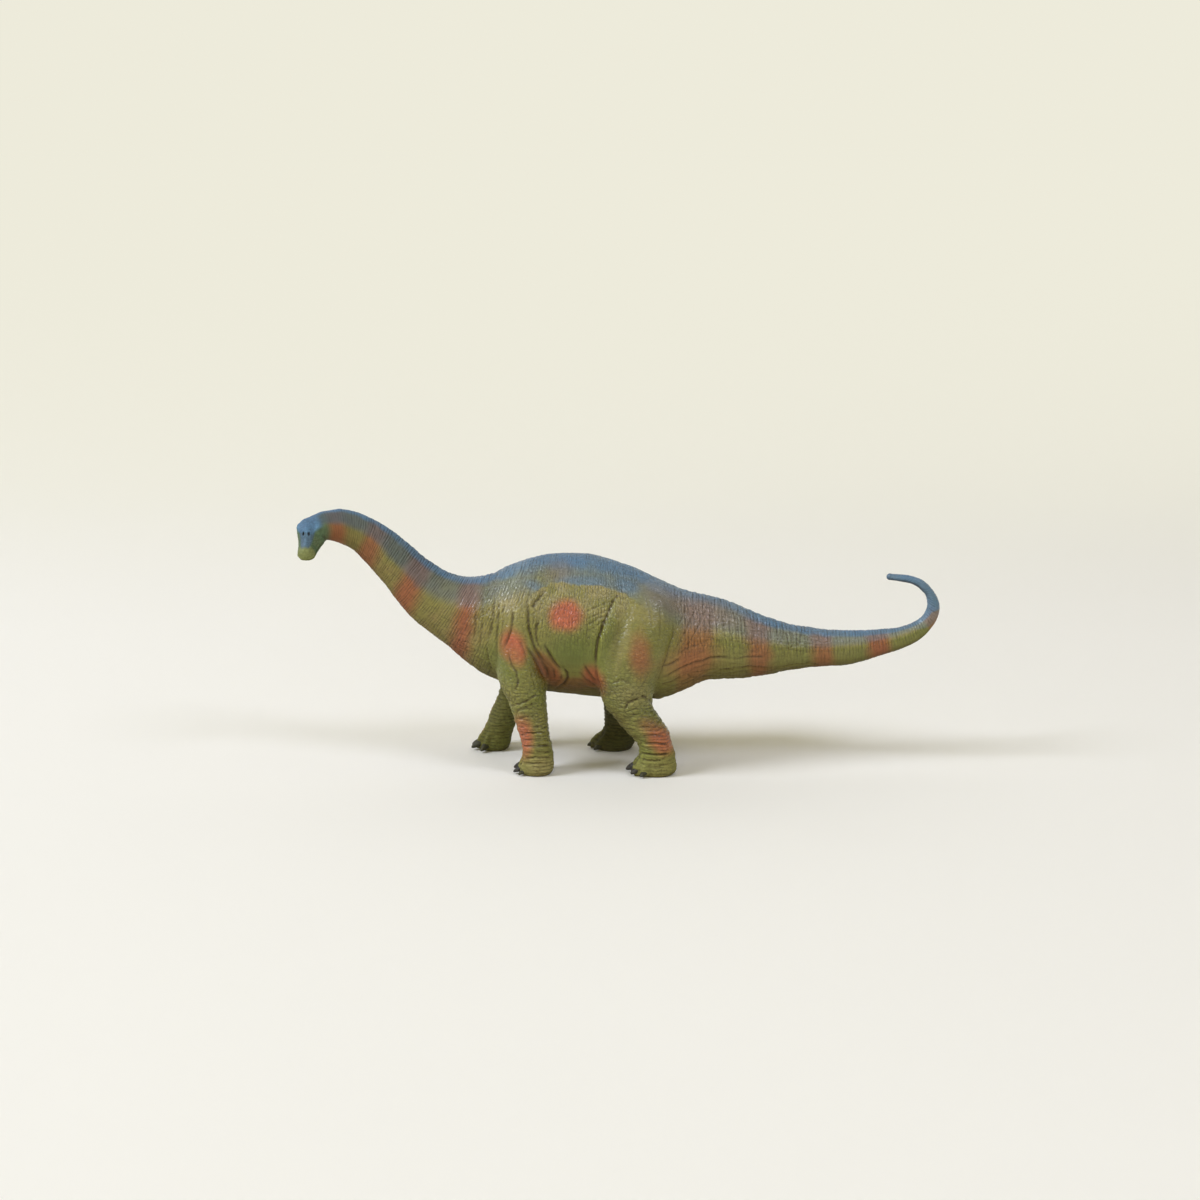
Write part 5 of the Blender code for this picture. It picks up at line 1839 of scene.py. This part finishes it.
@dataclass(frozen=True)
class SkinFinish:
    """Painted vinyl: the sprayed colours with fine wrinkles, a wash in their grooves and a satin sheen.

    Attributes:
        name: The material's name.
        groove_depth: How deep the fine wrinkles are.
        limb_grain: The size of a wrinkle cell on legs and head, in x, y and z.
        sheen: The roughness between the grooves.
        groove_tone: How bright the paint is in a groove.
        ridge_tone: How bright it is on a ridge.
    """

    name: str
    groove_depth: float = 0.00027
    limb_grain: tuple[float, float, float] = (0.0031, 0.0031, 0.0018)
    sheen: float = 0.32
    groove_tone: float = 0.56
    ridge_tone: float = 1.14

    def build(self) -> bpy.types.Material:
        """Makes the material's nodes.

        Returns:
            The material.
        """
        material = bpy.data.materials.new(self.name)
        material.use_nodes = True
        material.node_tree.nodes.clear()
        nodes = NodeTree(material.node_tree)
        shader = nodes.add("BsdfPrincipled", {"IOR": 1.42, "Specular IOR Level": 0.62})
        nodes.add("OutputMaterial", {"Surface": shader.outputs["BSDF"]})

        place, paint = nodes.place(), nodes.attribute("paint")
        net = nodes.attribute("net")["Fac"]
        cells_a_metre = [1 / size for size in self.limb_grain]
        limb_place = nodes.add("Mapping", {"Vector": place, "Scale": cells_a_metre}).outputs["Vector"]
        trunk_level = self.pattern(nodes, nodes.attribute("grain")["Vector"], net, "X")
        limb_level = self.pattern(nodes, limb_place, net, "Z")
        groove = nodes.blend(nodes.attribute("limb")["Fac"], trunk_level, limb_level)
        shown = nodes.blend(nodes.attribute("depth")["Fac"], 0.8, groove)
        grit = nodes.noise(place, 1900, 3).outputs["Fac"]
        level = nodes.math("MULTIPLY_ADD", grit, 0.25, shown)
        bump = nodes.add("Bump", {"Height": level, "Strength": 1.0, "Distance": self.groove_depth})
        tone = nodes.grade(shown, first=self.groove_tone, last=self.ridge_tone)
        shaded = nodes.add(
            "Mix", {"Factor": 1.0, 6: paint["Color"], 7: tone}, data_type="RGBA", blend_type="MULTIPLY"
        )
        gloss = nodes.grade(level, first=self.sheen + 0.22, last=self.sheen - 0.06)
        nodes.feed(shader, {
            "Normal": bump.outputs["Normal"],
            "Base Color": shaded.outputs[2],
            "Roughness": nodes.blend(paint["Alpha"], 0.95, gloss),
        })
        return material

    @staticmethod
    def pattern(
        nodes: NodeTree, place: bpy.types.NodeSocket, net: bpy.types.NodeSocket, direction: str
    ) -> bpy.types.NodeSocket:
        """Adds rows of fine wrinkles crossed by a net of cells.

        Args:
            nodes: The material's nodes.
            place: The place, in units of one row or one cell.
            net: How much of the net shows, from 0 to 1.
            direction: The axis that the rows follow each other on.

        Returns:
            The level, 0 in a groove and 1 on a ridge.
        """
        rows = nodes.add(
            "TexWave",
            {"Vector": place, "Scale": math.tau / 20, "Distortion": 3.4, "Detail": 2, "Detail Scale": 1.6},
            wave_type="BANDS", bands_direction=direction,
        )
        row_level = nodes.grade(rows.outputs["Fac"], 0.02, 0.50, smooth=True)
        gap_level = nodes.grade(nodes.noise(place, 0.55, 1).outputs["Fac"], 0.46, 0.66, last=0.9)
        strands = nodes.math("MAXIMUM", row_level, gap_level)
        bend = nodes.noise(place, 0.45).outputs["Color"]
        bent = nodes.add("VectorMath", {0: bend, 1: (1.1, 1.1, 1.1), 2: place}, operation="MULTIPLY_ADD")
        cells = nodes.add("TexVoronoi", feature="DISTANCE_TO_EDGE")
        nodes.feed(cells, {"Vector": bent.outputs["Vector"], "Scale": 1.0})
        cell_level = nodes.grade(cells.outputs["Distance"], 0, 0.20, smooth=True)
        return nodes.blend(net, strands, cell_level)


@dataclass(frozen=True)
class GlossFinish:
    """A small painted detail, such as a claw or an eye: one paint with worn, uneven patches.

    Attributes:
        name: The material's name.
        dark: The paint in its hollows.
        light: The paint where it is rubbed.
        roughness: How dull it is.
        shine: How strongly it mirrors.
        patch: How many patches it has in a metre.
    """

    name: str
    dark: tuple[float, float, float]
    light: tuple[float, float, float]
    roughness: float
    shine: float = 0.5
    patch: float = 900.0

    def build(self) -> bpy.types.Material:
        """Makes the material's nodes.

        Returns:
            The material.
        """
        material = bpy.data.materials.new(self.name)
        material.use_nodes = True
        nodes = NodeTree(material.node_tree)
        patches = nodes.noise(nodes.place(), self.patch, 4).outputs["Fac"]
        smooth = max(self.roughness - 0.08, 0.02)
        bump = nodes.add("Bump", {"Height": patches, "Strength": 0.8, "Distance": 0.0003})
        nodes.feed(material.node_tree.nodes["Principled BSDF"], {
            "Specular IOR Level": self.shine,
            "Base Color": nodes.two_tone(patches, (self.dark, self.light), (0.35, 0.75)),
            "Roughness": nodes.grade(patches, first=smooth, last=self.roughness + 0.12),
            "Normal": bump.outputs["Normal"],
        })
        return material


CLAW_FINISH = GlossFinish("claw_paint", (0.014, 0.012, 0.010), (0.060, 0.052, 0.040), 0.50, 0.3)
BARE_CLAW_FINISH = GlossFinish("bare_claw_paint", (0.020, 0.019, 0.008), (0.055, 0.052, 0.022), 0.50, 0.3)
EYE_FINISH = GlossFinish("eye_paint", (0.006, 0.006, 0.006), (0.02, 0.018, 0.016), 0.12)


@dataclass
class Claws:
    """The pointed dark claws of the feet, modelled once and copied.

    Attributes:
        length: The length of a plain claw.
        radius: Half its breadth at the root.
        height_share: How high its root lies, as a share of the figure's height.
        seat_share: How much of its length lies inside the foot.
        droop_share: How far it points down for each length ahead.
        sides: How many points a ring has.
    """

    length: float = 0.0082
    radius: float = 0.0026
    height_share: float = 0.024
    seat_share: float = 0.46
    droop_share: float = 0.24
    sides: int = 20

    def model(self) -> bpy.types.Object:
        """Models one claw of unit length along x: an arched nail with a flat underside.

        Returns:
            The claw.
        """
        rings = []
        angle = np.arange(self.sides) * math.tau / self.sides
        for part in np.linspace(0, 1, 11):
            size = (1 - (0.97 * part) ** 2.0) ** 0.62 * self.radius / self.length
            height = np.cos(angle) * size * 0.92
            height = np.where(height < 0, 0.72 * height, height) - 0.10 * part**2
            ridge = 1 + 0.05 * np.cos(5 * angle) * (1 - part)
            rings.append(np.stack([np.full(self.sides, part), np.sin(angle) * size * ridge, height], axis=1))
        claw = grow_form("claw_model", rings)
        apply_modifier(claw, "SUBSURF", levels=1, render_levels=1)
        return claw

    def fit(self, model: bpy.types.Object, leg: Leg, number: int) -> bpy.types.Object:
        """Copies the claw to one of its places round a foot.

        Args:
            model: The claw to copy.
            leg: The leg that it belongs to.
            number: Which of the foot's claws it is, from the inner side.

        Returns:
            The new claw.
        """
        turn, size = CLAW_SHARES[number]
        size *= leg.claw_scale
        turn += leg.claw_turn
        heights = np.array([leg.rows[-2, 0] * leg.trunk.height])
        middle, depth, breadth = (value[0] for value in leg.section(heights))
        angle = math.tau * turn
        out = np.array((-math.cos(angle) * depth, leg.side * math.sin(angle) * breadth, 0))
        direction = unit(unit(out) - np.array((0, 0, self.droop_share)))
        length = self.length * size
        rim = np.array((middle[0], middle[1], self.height_share * leg.trunk.height * size)) + out
        start = rim - direction * (length * self.seat_share)
        side = unit(np.cross(np.array((0, 0, 1.0)), direction))
        axes = np.stack([direction, side, np.cross(direction, side)])
        claw = model.copy()
        claw.data = model.data.copy()
        claw.name = f"{leg.name}_claw_{number + 1}"
        bpy.context.scene.collection.objects.link(claw)
        write_points(claw, read_points(model) * length @ axes + start)
        return claw


@dataclass
class Face:
    """The details of the head: eyes under their brows, nostrils, the mouth and the folds of the throat.

    Attributes:
        head: The head that they belong to.
        eye_radius: The radius of an eye.
        eye_place: Where an eye lies, in shares of the head's length, depth and width.
        nostril_share: Where the nostrils lie along the head.
        nostril_spacing: How far apart they are.
    """

    head: Head
    eye_radius: float = 0.0014
    eye_place: tuple[float, float, float] = (0.35, 0.16, 0.43)
    nostril_share: float = 0.54
    nostril_spacing: float = 0.0027

    def sculpt(self, piece: bpy.types.Object) -> None:
        """Presses the details into the head's skin, shades them and paints a highlight along the bridge.

        Args:
            piece: The head's part of the skin.
        """
        apply_modifier(piece, "SUBSURF", levels=1, render_levels=1, subdivision_type="SIMPLE")
        points, normals = read_points(piece), read_normals(piece)
        share = self.head.shares(points)
        along, height, side = share[:, 0], share[:, 1], np.abs(share[:, 2])
        size = np.array((self.head.length, self.head.depth, self.head.width)) / MM

        to_eye = (np.stack([along, height, side], axis=1) - np.array(self.eye_place)) * size
        brow = to_eye - (0.2, 1.5, -0.3)
        relief = 0.85 * bell(np.linalg.norm(brow * (0.45, 1.2, 0.8), axis=1), 1.25)
        socket = np.linalg.norm(to_eye * (0.75, 1.1, 0.6), axis=1)
        relief -= 0.45 * bell(socket, 1.0)
        relief += 0.12 * bell(socket - 1.9, 0.5)
        bridge = bell(side, 0.07) * smooth_step(0.34, 0.46, along) * smooth_step(0.92, 0.8, along)
        bridge = bridge * smooth_step(0.05, 0.15, height)
        relief += 0.30 * bridge

        spacing = self.nostril_spacing / 2 / self.head.width
        pit = np.hypot((along - self.nostril_share) * size[0] * 0.85, (side - spacing) * size[2] * 1.35)
        above = smooth_step(0.0, 0.12, height)
        relief -= 0.8 * bell(pit, 0.50) * above
        relief += 0.28 * bell(pit - 1.15, 0.45) * above

        lip = -0.20 - 0.10 * (1 - along)
        mouth = smooth_step(0.46, 0.56, along)
        gap = (height - lip) * size[1]
        relief -= 0.5 * bell(gap, 0.33) * mouth
        relief += 0.22 * bell(gap - 0.85, 0.5) * mouth
        relief += 0.18 * bell(gap + 0.85, 0.5) * mouth
        cheek = bell((along - 0.44) * size[0], 0.5)
        cheek = cheek * smooth_step(0.1, -0.1, height) * smooth_step(0.2, 0.35, side)
        relief -= 0.35 * cheek

        throat = smooth_step(-0.30, -0.50, height)
        folds = bell(cracks(points / MM / (2.2, 2.2, 1.3), 81), 0.17)
        relief -= 0.16 * folds * (throat + 0.5 * smooth_step(0.42, 0.2, along))
        relief -= 0.11 * bell(cracks(points / MM / 1.7, 91), 0.20)

        nape = self.head.nape()
        ahead = -(points - nape["centre"]) @ nape["normal"] / MM
        relief *= smooth_step(0.3, 1.6, ahead)
        jaw = smooth_step(-0.10, -0.40, height) * smooth_step(0.05, 0.25, along)
        jaw = jaw * smooth_step(1.0, 0.75, along)
        swelling = 1.3 * jaw * smooth_step(0.3, 3.0, ahead)
        write_points(piece, points + normals * ((relief + swelling) * MM)[:, None])

        stored = piece.data.attributes["paint"].data
        paint = read_array(stored, "color", 4)
        shade = np.clip(-relief * 1.3, 0, 0.8)[:, None]
        paint[:, :3] += (Paint.BROWN.linear() * 0.55 - paint[:, :3]) * shade
        paint[:, :3] *= 1 + 0.30 * np.clip(relief * 1.6, 0, 1)[:, None]
        # Painted highlight along the ridge of the bridge
        paint[:, :3] *= 1 + 0.10 * bridge[:, None]
        paint[:, :3] *= 1 - 0.9 * (bell(pit, 0.52) * above)[:, None]
        stored.foreach_set("color", paint.ravel())

    def eyes(self) -> list[bpy.types.Object]:
        """Models the two eyes, balls with a raised pupil, the left one first.

        Returns:
            The two eyes.
        """
        made = []
        for word, sign in (("left", -1), ("right", 1)):
            along, height, out = self.eye_place
            centre = self.head.place(along, height, sign * (out - 0.075))
            deselect_all()
            bpy.ops.mesh.primitive_uv_sphere_add(
                segments=28, ring_count=18, radius=0.86 * self.eye_radius, location=tuple(centre)
            )
            eye = bpy.context.active_object
            eye.name = eye.data.name = f"{word}_eye"
            bpy.ops.object.mode_set(mode="EDIT")
            form = bmesh.from_edit_mesh(eye.data)
            facing = Vector(self.head.axes()[2] * sign)
            for face in form.faces:
                face.select = face.normal.dot(facing) > 0.86
            bmesh.update_edit_mesh(eye.data)
            bpy.ops.mesh.inset(thickness=0.00008, depth=0.00004)
            bpy.ops.object.mode_set(mode="OBJECT")
            bpy.ops.object.shade_smooth()
            bpy.ops.object.transform_apply(location=True, rotation=True, scale=True)
            made.append(eye)
        return made


@dataclass
class Studio:
    """The plain pale sweep, the soft lamps and the even light all round.

    Attributes:
        floor_colour: The colour of the floor.
        wall_colour: The colour that the camera sees of the wall and the world.
        glow_start: How far behind the figure the floor starts to show the wall's colour.
        fade_start: How far from the figure the floor starts to fade into it all round.
        fade_end: Where that fade ends.
        world_colour: The colour of the light all round.
        world_strength: Its strength.
        width: The width of the sweep.
        near: Where the sweep starts.
        far: Where it bends up.
        radius: How wide the bend is.
        top: How high the wall is.
    """

    floor_colour: tuple[float, float, float] = (0.892, 0.868, 0.828)
    wall_colour: tuple[float, float, float] = (0.850, 0.830, 0.708)
    glow_start: float = 0.20
    fade_start: float = 1.2
    fade_end: float = 2.6
    world_colour: tuple[float, float, float] = (1.0, 0.90, 0.42)
    world_strength: float = 0.165
    width: float = 7.0
    near: float = -3.5
    far: float = 0.75
    radius: float = 0.55
    top: float = 3.2

    def sweep(self) -> bpy.types.Object:
        """Models the sweep: a line extruded along the floor, round the curve and up the wall.

        Returns:
            The sweep.
        """
        deselect_all()
        bpy.ops.mesh.primitive_plane_add(size=1.0)
        floor = bpy.context.active_object
        floor.name = floor.data.name = "pale_sweep"
        half = self.width / 2
        steps = [(self.near, 0.0), (self.far, 0.0)]
        for angle in np.linspace(0, math.pi / 2, 17)[1:]:
            steps.append((self.far + self.radius * math.sin(angle), self.radius * (1 - math.cos(angle))))
        steps.append((self.far + self.radius, self.top))
        bpy.ops.object.mode_set(mode="EDIT")
        form = bmesh.from_edit_mesh(floor.data)
        for vertex in form.verts:
            row = steps[1] if vertex.co.y > 0 else steps[0]
            vertex.co = (math.copysign(half, vertex.co.x), row[0], row[1])
        bpy.ops.mesh.select_all(action="DESELECT")
        bpy.ops.mesh.select_mode(type="EDGE")
        for edge in form.edges:
            edge.select = all(vertex.co.y > 0 for vertex in edge.verts)
        bmesh.update_edit_mesh(floor.data)
        for before, after in zip(steps[1:-1], steps[2:]):
            move = (0, after[0] - before[0], after[1] - before[1])
            bpy.ops.mesh.extrude_edges_move(TRANSFORM_OT_translate={"value": move})
        bpy.ops.mesh.select_all(action="SELECT")
        bpy.ops.mesh.normals_make_consistent(inside=False)
        bpy.ops.object.mode_set(mode="OBJECT")
        if floor.data.polygons[0].normal.z < 0:
            floor.data.flip_normals()
        bpy.ops.object.shade_smooth()
        floor.data.materials.append(self.floor_material())
        return floor

    def floor_material(self) -> bpy.types.Material:
        """Makes the sweep's matt paper, with a faint unevenness and the wall's own colour far away.

        Only the floor near the figure takes its shadow: the wall, and the floor far from the figure, show
        their plain pale colour to the camera.

        Returns:
            The material.
        """
        material = bpy.data.materials.new("pale_paper")
        material.use_nodes = True
        nodes = NodeTree(material.node_tree)
        shader = material.node_tree.nodes["Principled BSDF"]
        place = nodes.place()
        cloud = nodes.noise(place, 3.0).outputs["Fac"]
        tones = [tuple(part * share for part in self.floor_colour) for share in (0.985, 1.01)]
        paper = nodes.two_tone(cloud, tones)
        nodes.feed(shader, {"Roughness": 0.85, "Specular IOR Level": 0.25, "Base Color": paper})

        behind = nodes.add("SeparateXYZ", {"Vector": place}).outputs["Y"]
        high = nodes.grade(behind, self.glow_start, self.far + 0.9 * self.radius, smooth=True)
        away = nodes.add("VectorMath", {0: place}, operation="LENGTH").outputs["Value"]
        distant = nodes.grade(away, self.fade_start, self.fade_end, smooth=True)
        either = nodes.math("MAXIMUM", high, distant)
        amount = nodes.math("MULTIPLY", either, self.seen_directly(nodes))
        glow = nodes.add("Emission", {"Color": (*self.wall_colour, 1)}).outputs["Emission"]
        mix = nodes.add("MixShader", {"Fac": amount, 1: shader.outputs["BSDF"], 2: glow})
        nodes.feed(material.node_tree.nodes["Material Output"], {"Surface": mix.outputs["Shader"]})
        return material

    @staticmethod
    def seen_directly(nodes: NodeTree) -> bpy.types.NodeSocket:
        """Adds a value that is 1 for what the camera sees, also in a mirror or through glass.

        Args:
            nodes: The nodes of the material or world.

        Returns:
            The value.
        """
        rays = nodes.add("LightPath").outputs
        seen = nodes.math("MAXIMUM", rays["Is Camera Ray"], rays["Is Glossy Ray"])
        return nodes.math("MAXIMUM", seen, rays["Is Transmission Ray"])

    @staticmethod
    def lamp(name: str, place: tuple, target: tuple, power: float, size: float, colour: tuple) -> None:
        """Adds one soft lamp.

        Args:
            name: Its name.
            place: Where it stands.
            target: Where it points.
            power: Its power in watts.
            size: Its width.
            colour: Its colour.
        """
        data = bpy.data.lights.new(name, "AREA")
        data.shape = "DISK"
        data.size = size
        data.energy = power
        data.color = colour
        lamp = bpy.data.objects.new(name, data)
        bpy.context.scene.collection.objects.link(lamp)
        lamp.location = place
        lamp.rotation_euler = (Vector(target) - Vector(place)).to_track_quat("-Z", "Y").to_euler()

    def light(self) -> None:
        """Lights the scene with the world and four lamps."""
        scene = bpy.context.scene
        scene.view_settings.view_transform = "Standard"
        world = bpy.data.worlds.new("soft_room")
        world.use_nodes = True
        nodes = NodeTree(world.node_tree)
        sky = world.node_tree.nodes["Background"]
        nodes.feed(sky, {"Color": (*self.world_colour, 1), "Strength": self.world_strength})
        pale = nodes.add("Background", {"Color": (*self.wall_colour, 1)}).outputs["Background"]
        seen = self.seen_directly(nodes)
        mix = nodes.add("MixShader", {"Fac": seen, 1: sky.outputs["Background"], 2: pale})
        nodes.feed(world.node_tree.nodes["World Output"], {"Surface": mix.outputs["Shader"]})
        scene.world = world
        self.lamp("key_lamp", (-2.86, -0.956, 2.68), (0, 0, 0.05), 114.0, 1.60, (0.83, 0.88, 1.0))
        self.lamp("top_lamp", (0.0, -0.25, 2.2), (0, 0, 0), 3.3, 1.7, (1.0, 0.92, 0.50))
        self.lamp("front_lamp", (-0.3, -2.6, 0.75), (0, 0, 0.05), 13.0, 1.5, (1.0, 0.93, 0.55))
        self.lamp("fill_lamp", (1.307, -1.027, 1.917), (0, 0, 0.05), 16.5, 0.9, (0.79, 0.83, 1.0))


@dataclass
class Dinosaur:
    """The whole figure, dressed piece by piece.

    Attributes:
        trunk: Its trunk.
        legs: Its four legs.
        head: Its head.
        view: The camera that sees it.
    """

    trunk: Trunk
    legs: list[Leg]
    head: Head
    view: View

    def dress(self) -> None:
        """Builds the skin, parts it, adds the claws and the eyes, and hands each piece to its node."""
        skin = Skin(self.trunk, self.legs, self.head, self.view)
        skin.fuse()
        skin.survey()
        skin.sculpt()
        skin.paint()
        skin.store()
        parts = skin.part()
        claw_finish = CLAW_FINISH.build()
        bare_finish = BARE_CLAW_FINISH.build()
        eye_finish = EYE_FINISH.build()
        claws = Claws()
        claw_model = claws.model()
        face = Face(self.head)
        for name, piece in sorted(parts.items()):
            piece.data.materials.clear()
            piece.data.materials.append(SkinFinish(f"{name}_painted_skin").build())
            details = []
            if name == "head":
                face.sculpt(piece)
                details = self.finish_details(face.eyes(), eye_finish)
            for leg in self.legs:
                if leg.name == name:
                    fitted = [claws.fit(claw_model, leg, k) for k in range(len(CLAW_SHARES))]
                    dark = 3 if leg.side < 0 else 0
                    details = self.finish_details(fitted[:dark], claw_finish)
                    details += self.finish_details(fitted[dark:], bare_finish)
            self.close(piece, details)
            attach(piece, "root")
            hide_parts(name)
        bpy.data.objects.remove(claw_model)

    @staticmethod
    def finish_details(details: list[bpy.types.Object], finish: bpy.types.Material) -> list[bpy.types.Object]:
        """Gives small details their material and their smooth shading.

        Args:
            details: The details.
            finish: Their material.

        Returns:
            The same details.
        """
        for detail in details:
            detail.data.materials.clear()
            detail.data.materials.append(finish)
            choose(detail)
            bpy.ops.object.shade_smooth()
        return details

    @staticmethod
    def close(piece: bpy.types.Object, details: list[bpy.types.Object]) -> None:
        """Closes a part of the skin on its inside, keeps its shading at the seams and joins its details.

        Args:
            piece: The part.
            details: The small details that it carries.
        """
        mesh = piece.data
        count = len(mesh.vertices)
        stored = read_array(mesh.attributes["skin_normal"].data, "vector", 3)
        normals = read_normals(piece)
        choose(piece)
        bpy.ops.object.mode_set(mode="EDIT")
        bpy.ops.mesh.select_mode(type="VERT")
        bpy.ops.mesh.select_all(action="DESELECT")
        bpy.ops.mesh.select_non_manifold(
            extend=False, use_wire=False, use_boundary=True, use_multi_face=False,
            use_non_contiguous=False, use_verts=False,
        )
        form = bmesh.from_edit_mesh(mesh)
        border = np.array([vertex.select for vertex in form.verts])
        normals[border] = stored[border]
        bpy.ops.mesh.select_all(action="SELECT")
        bpy.ops.mesh.fill_holes(sides=0)
        form = bmesh.from_edit_mesh(mesh)
        for cap in form.faces:
            cap.select = len(cap.verts) > 4
        bmesh.update_edit_mesh(mesh)
        bpy.ops.mesh.poke()
        bpy.ops.object.mode_set(mode="OBJECT")
        if details:
            deselect_all()
            for detail in details:
                detail.select_set(True)
            piece.select_set(True)
            bpy.context.view_layer.objects.active = piece
            bpy.ops.object.join()
        mesh = piece.data
        choose(piece)
        bpy.ops.object.shade_smooth()
        corners = read_array(mesh.loops, "vertex_index", kind=np.int32)
        totals = read_array(mesh.polygons, "loop_total", kind=np.int32)
        starts = np.concatenate([[0], np.cumsum(totals)[:-1]])
        inner = np.repeat(np.maximum.reduceat(corners, starts) >= count, totals)
        wanted = np.zeros((len(corners), 3), np.float32)
        wanted[~inner] = normals[corners[~inner]]
        mesh.normals_split_custom_set(wanted.tolist())
        LOG.info("%s: %d open edges", piece.name, len(open_edges(mesh)))


def open_edges(mesh: bpy.types.Mesh) -> np.ndarray:
    """Returns the edges that belong to one face only."""
    loops = read_array(mesh.loops, "edge_index", kind=np.int32)
    return np.flatnonzero(np.bincount(loops, minlength=len(mesh.edges)) == 1)


def make_legs(trunk: Trunk) -> list[Leg]:
    """Makes the two fore legs and the two hind legs that a trunk stands on.

    Args:
        trunk: The trunk.

    Returns:
        The four legs, the fore legs first.
    """
    fore = {"rows": FORE_LEG_SHARES, "depth": 0.0244, "breadth": 0.0260, "claw_turn": -0.08, "toe_reach": 1.0}
    hind = {"rows": HIND_LEG_SHARES, "depth": 0.0366, "breadth": 0.0288, "claw_turn": -0.03, "toe_reach": 2.2}
    return [
        Leg("left_fore_leg", side=-1, trunk=trunk, claw_scale=1.05, **fore),
        Leg("right_fore_leg", side=1, trunk=trunk, claw_scale=1.05, **fore),
        Leg("left_hind_leg", side=-1, trunk=trunk, claw_scale=1.22, **hind),
        Leg("right_hind_leg", side=1, trunk=trunk, claw_scale=0.95, **hind),
    ]


def main() -> None:
    """Builds the figure and the studio, in order."""
    logging.basicConfig(level=logging.INFO, format="%(name)s: %(message)s")
    for started in list(bpy.data.objects):
        bpy.data.objects.remove(started, do_unlink=True)
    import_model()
    reach = Trunk().lines(Trunk.places())[1][:, 0].max()
    shift = np.array((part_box("tail")[1][0] - reach, 0.0, 0.0))
    LOG.info("shift of the mouldings: %.5f m", shift[0])
    trunk = Trunk(shift=shift)
    view = View(shift=(shift[0], 0.0, 0.0))
    Dinosaur(trunk, make_legs(trunk), Head(trunk), view).dress()
    studio = Studio()
    studio.sweep()
    studio.light()
    view.add_camera()


if __name__ == "__main__":
    main()
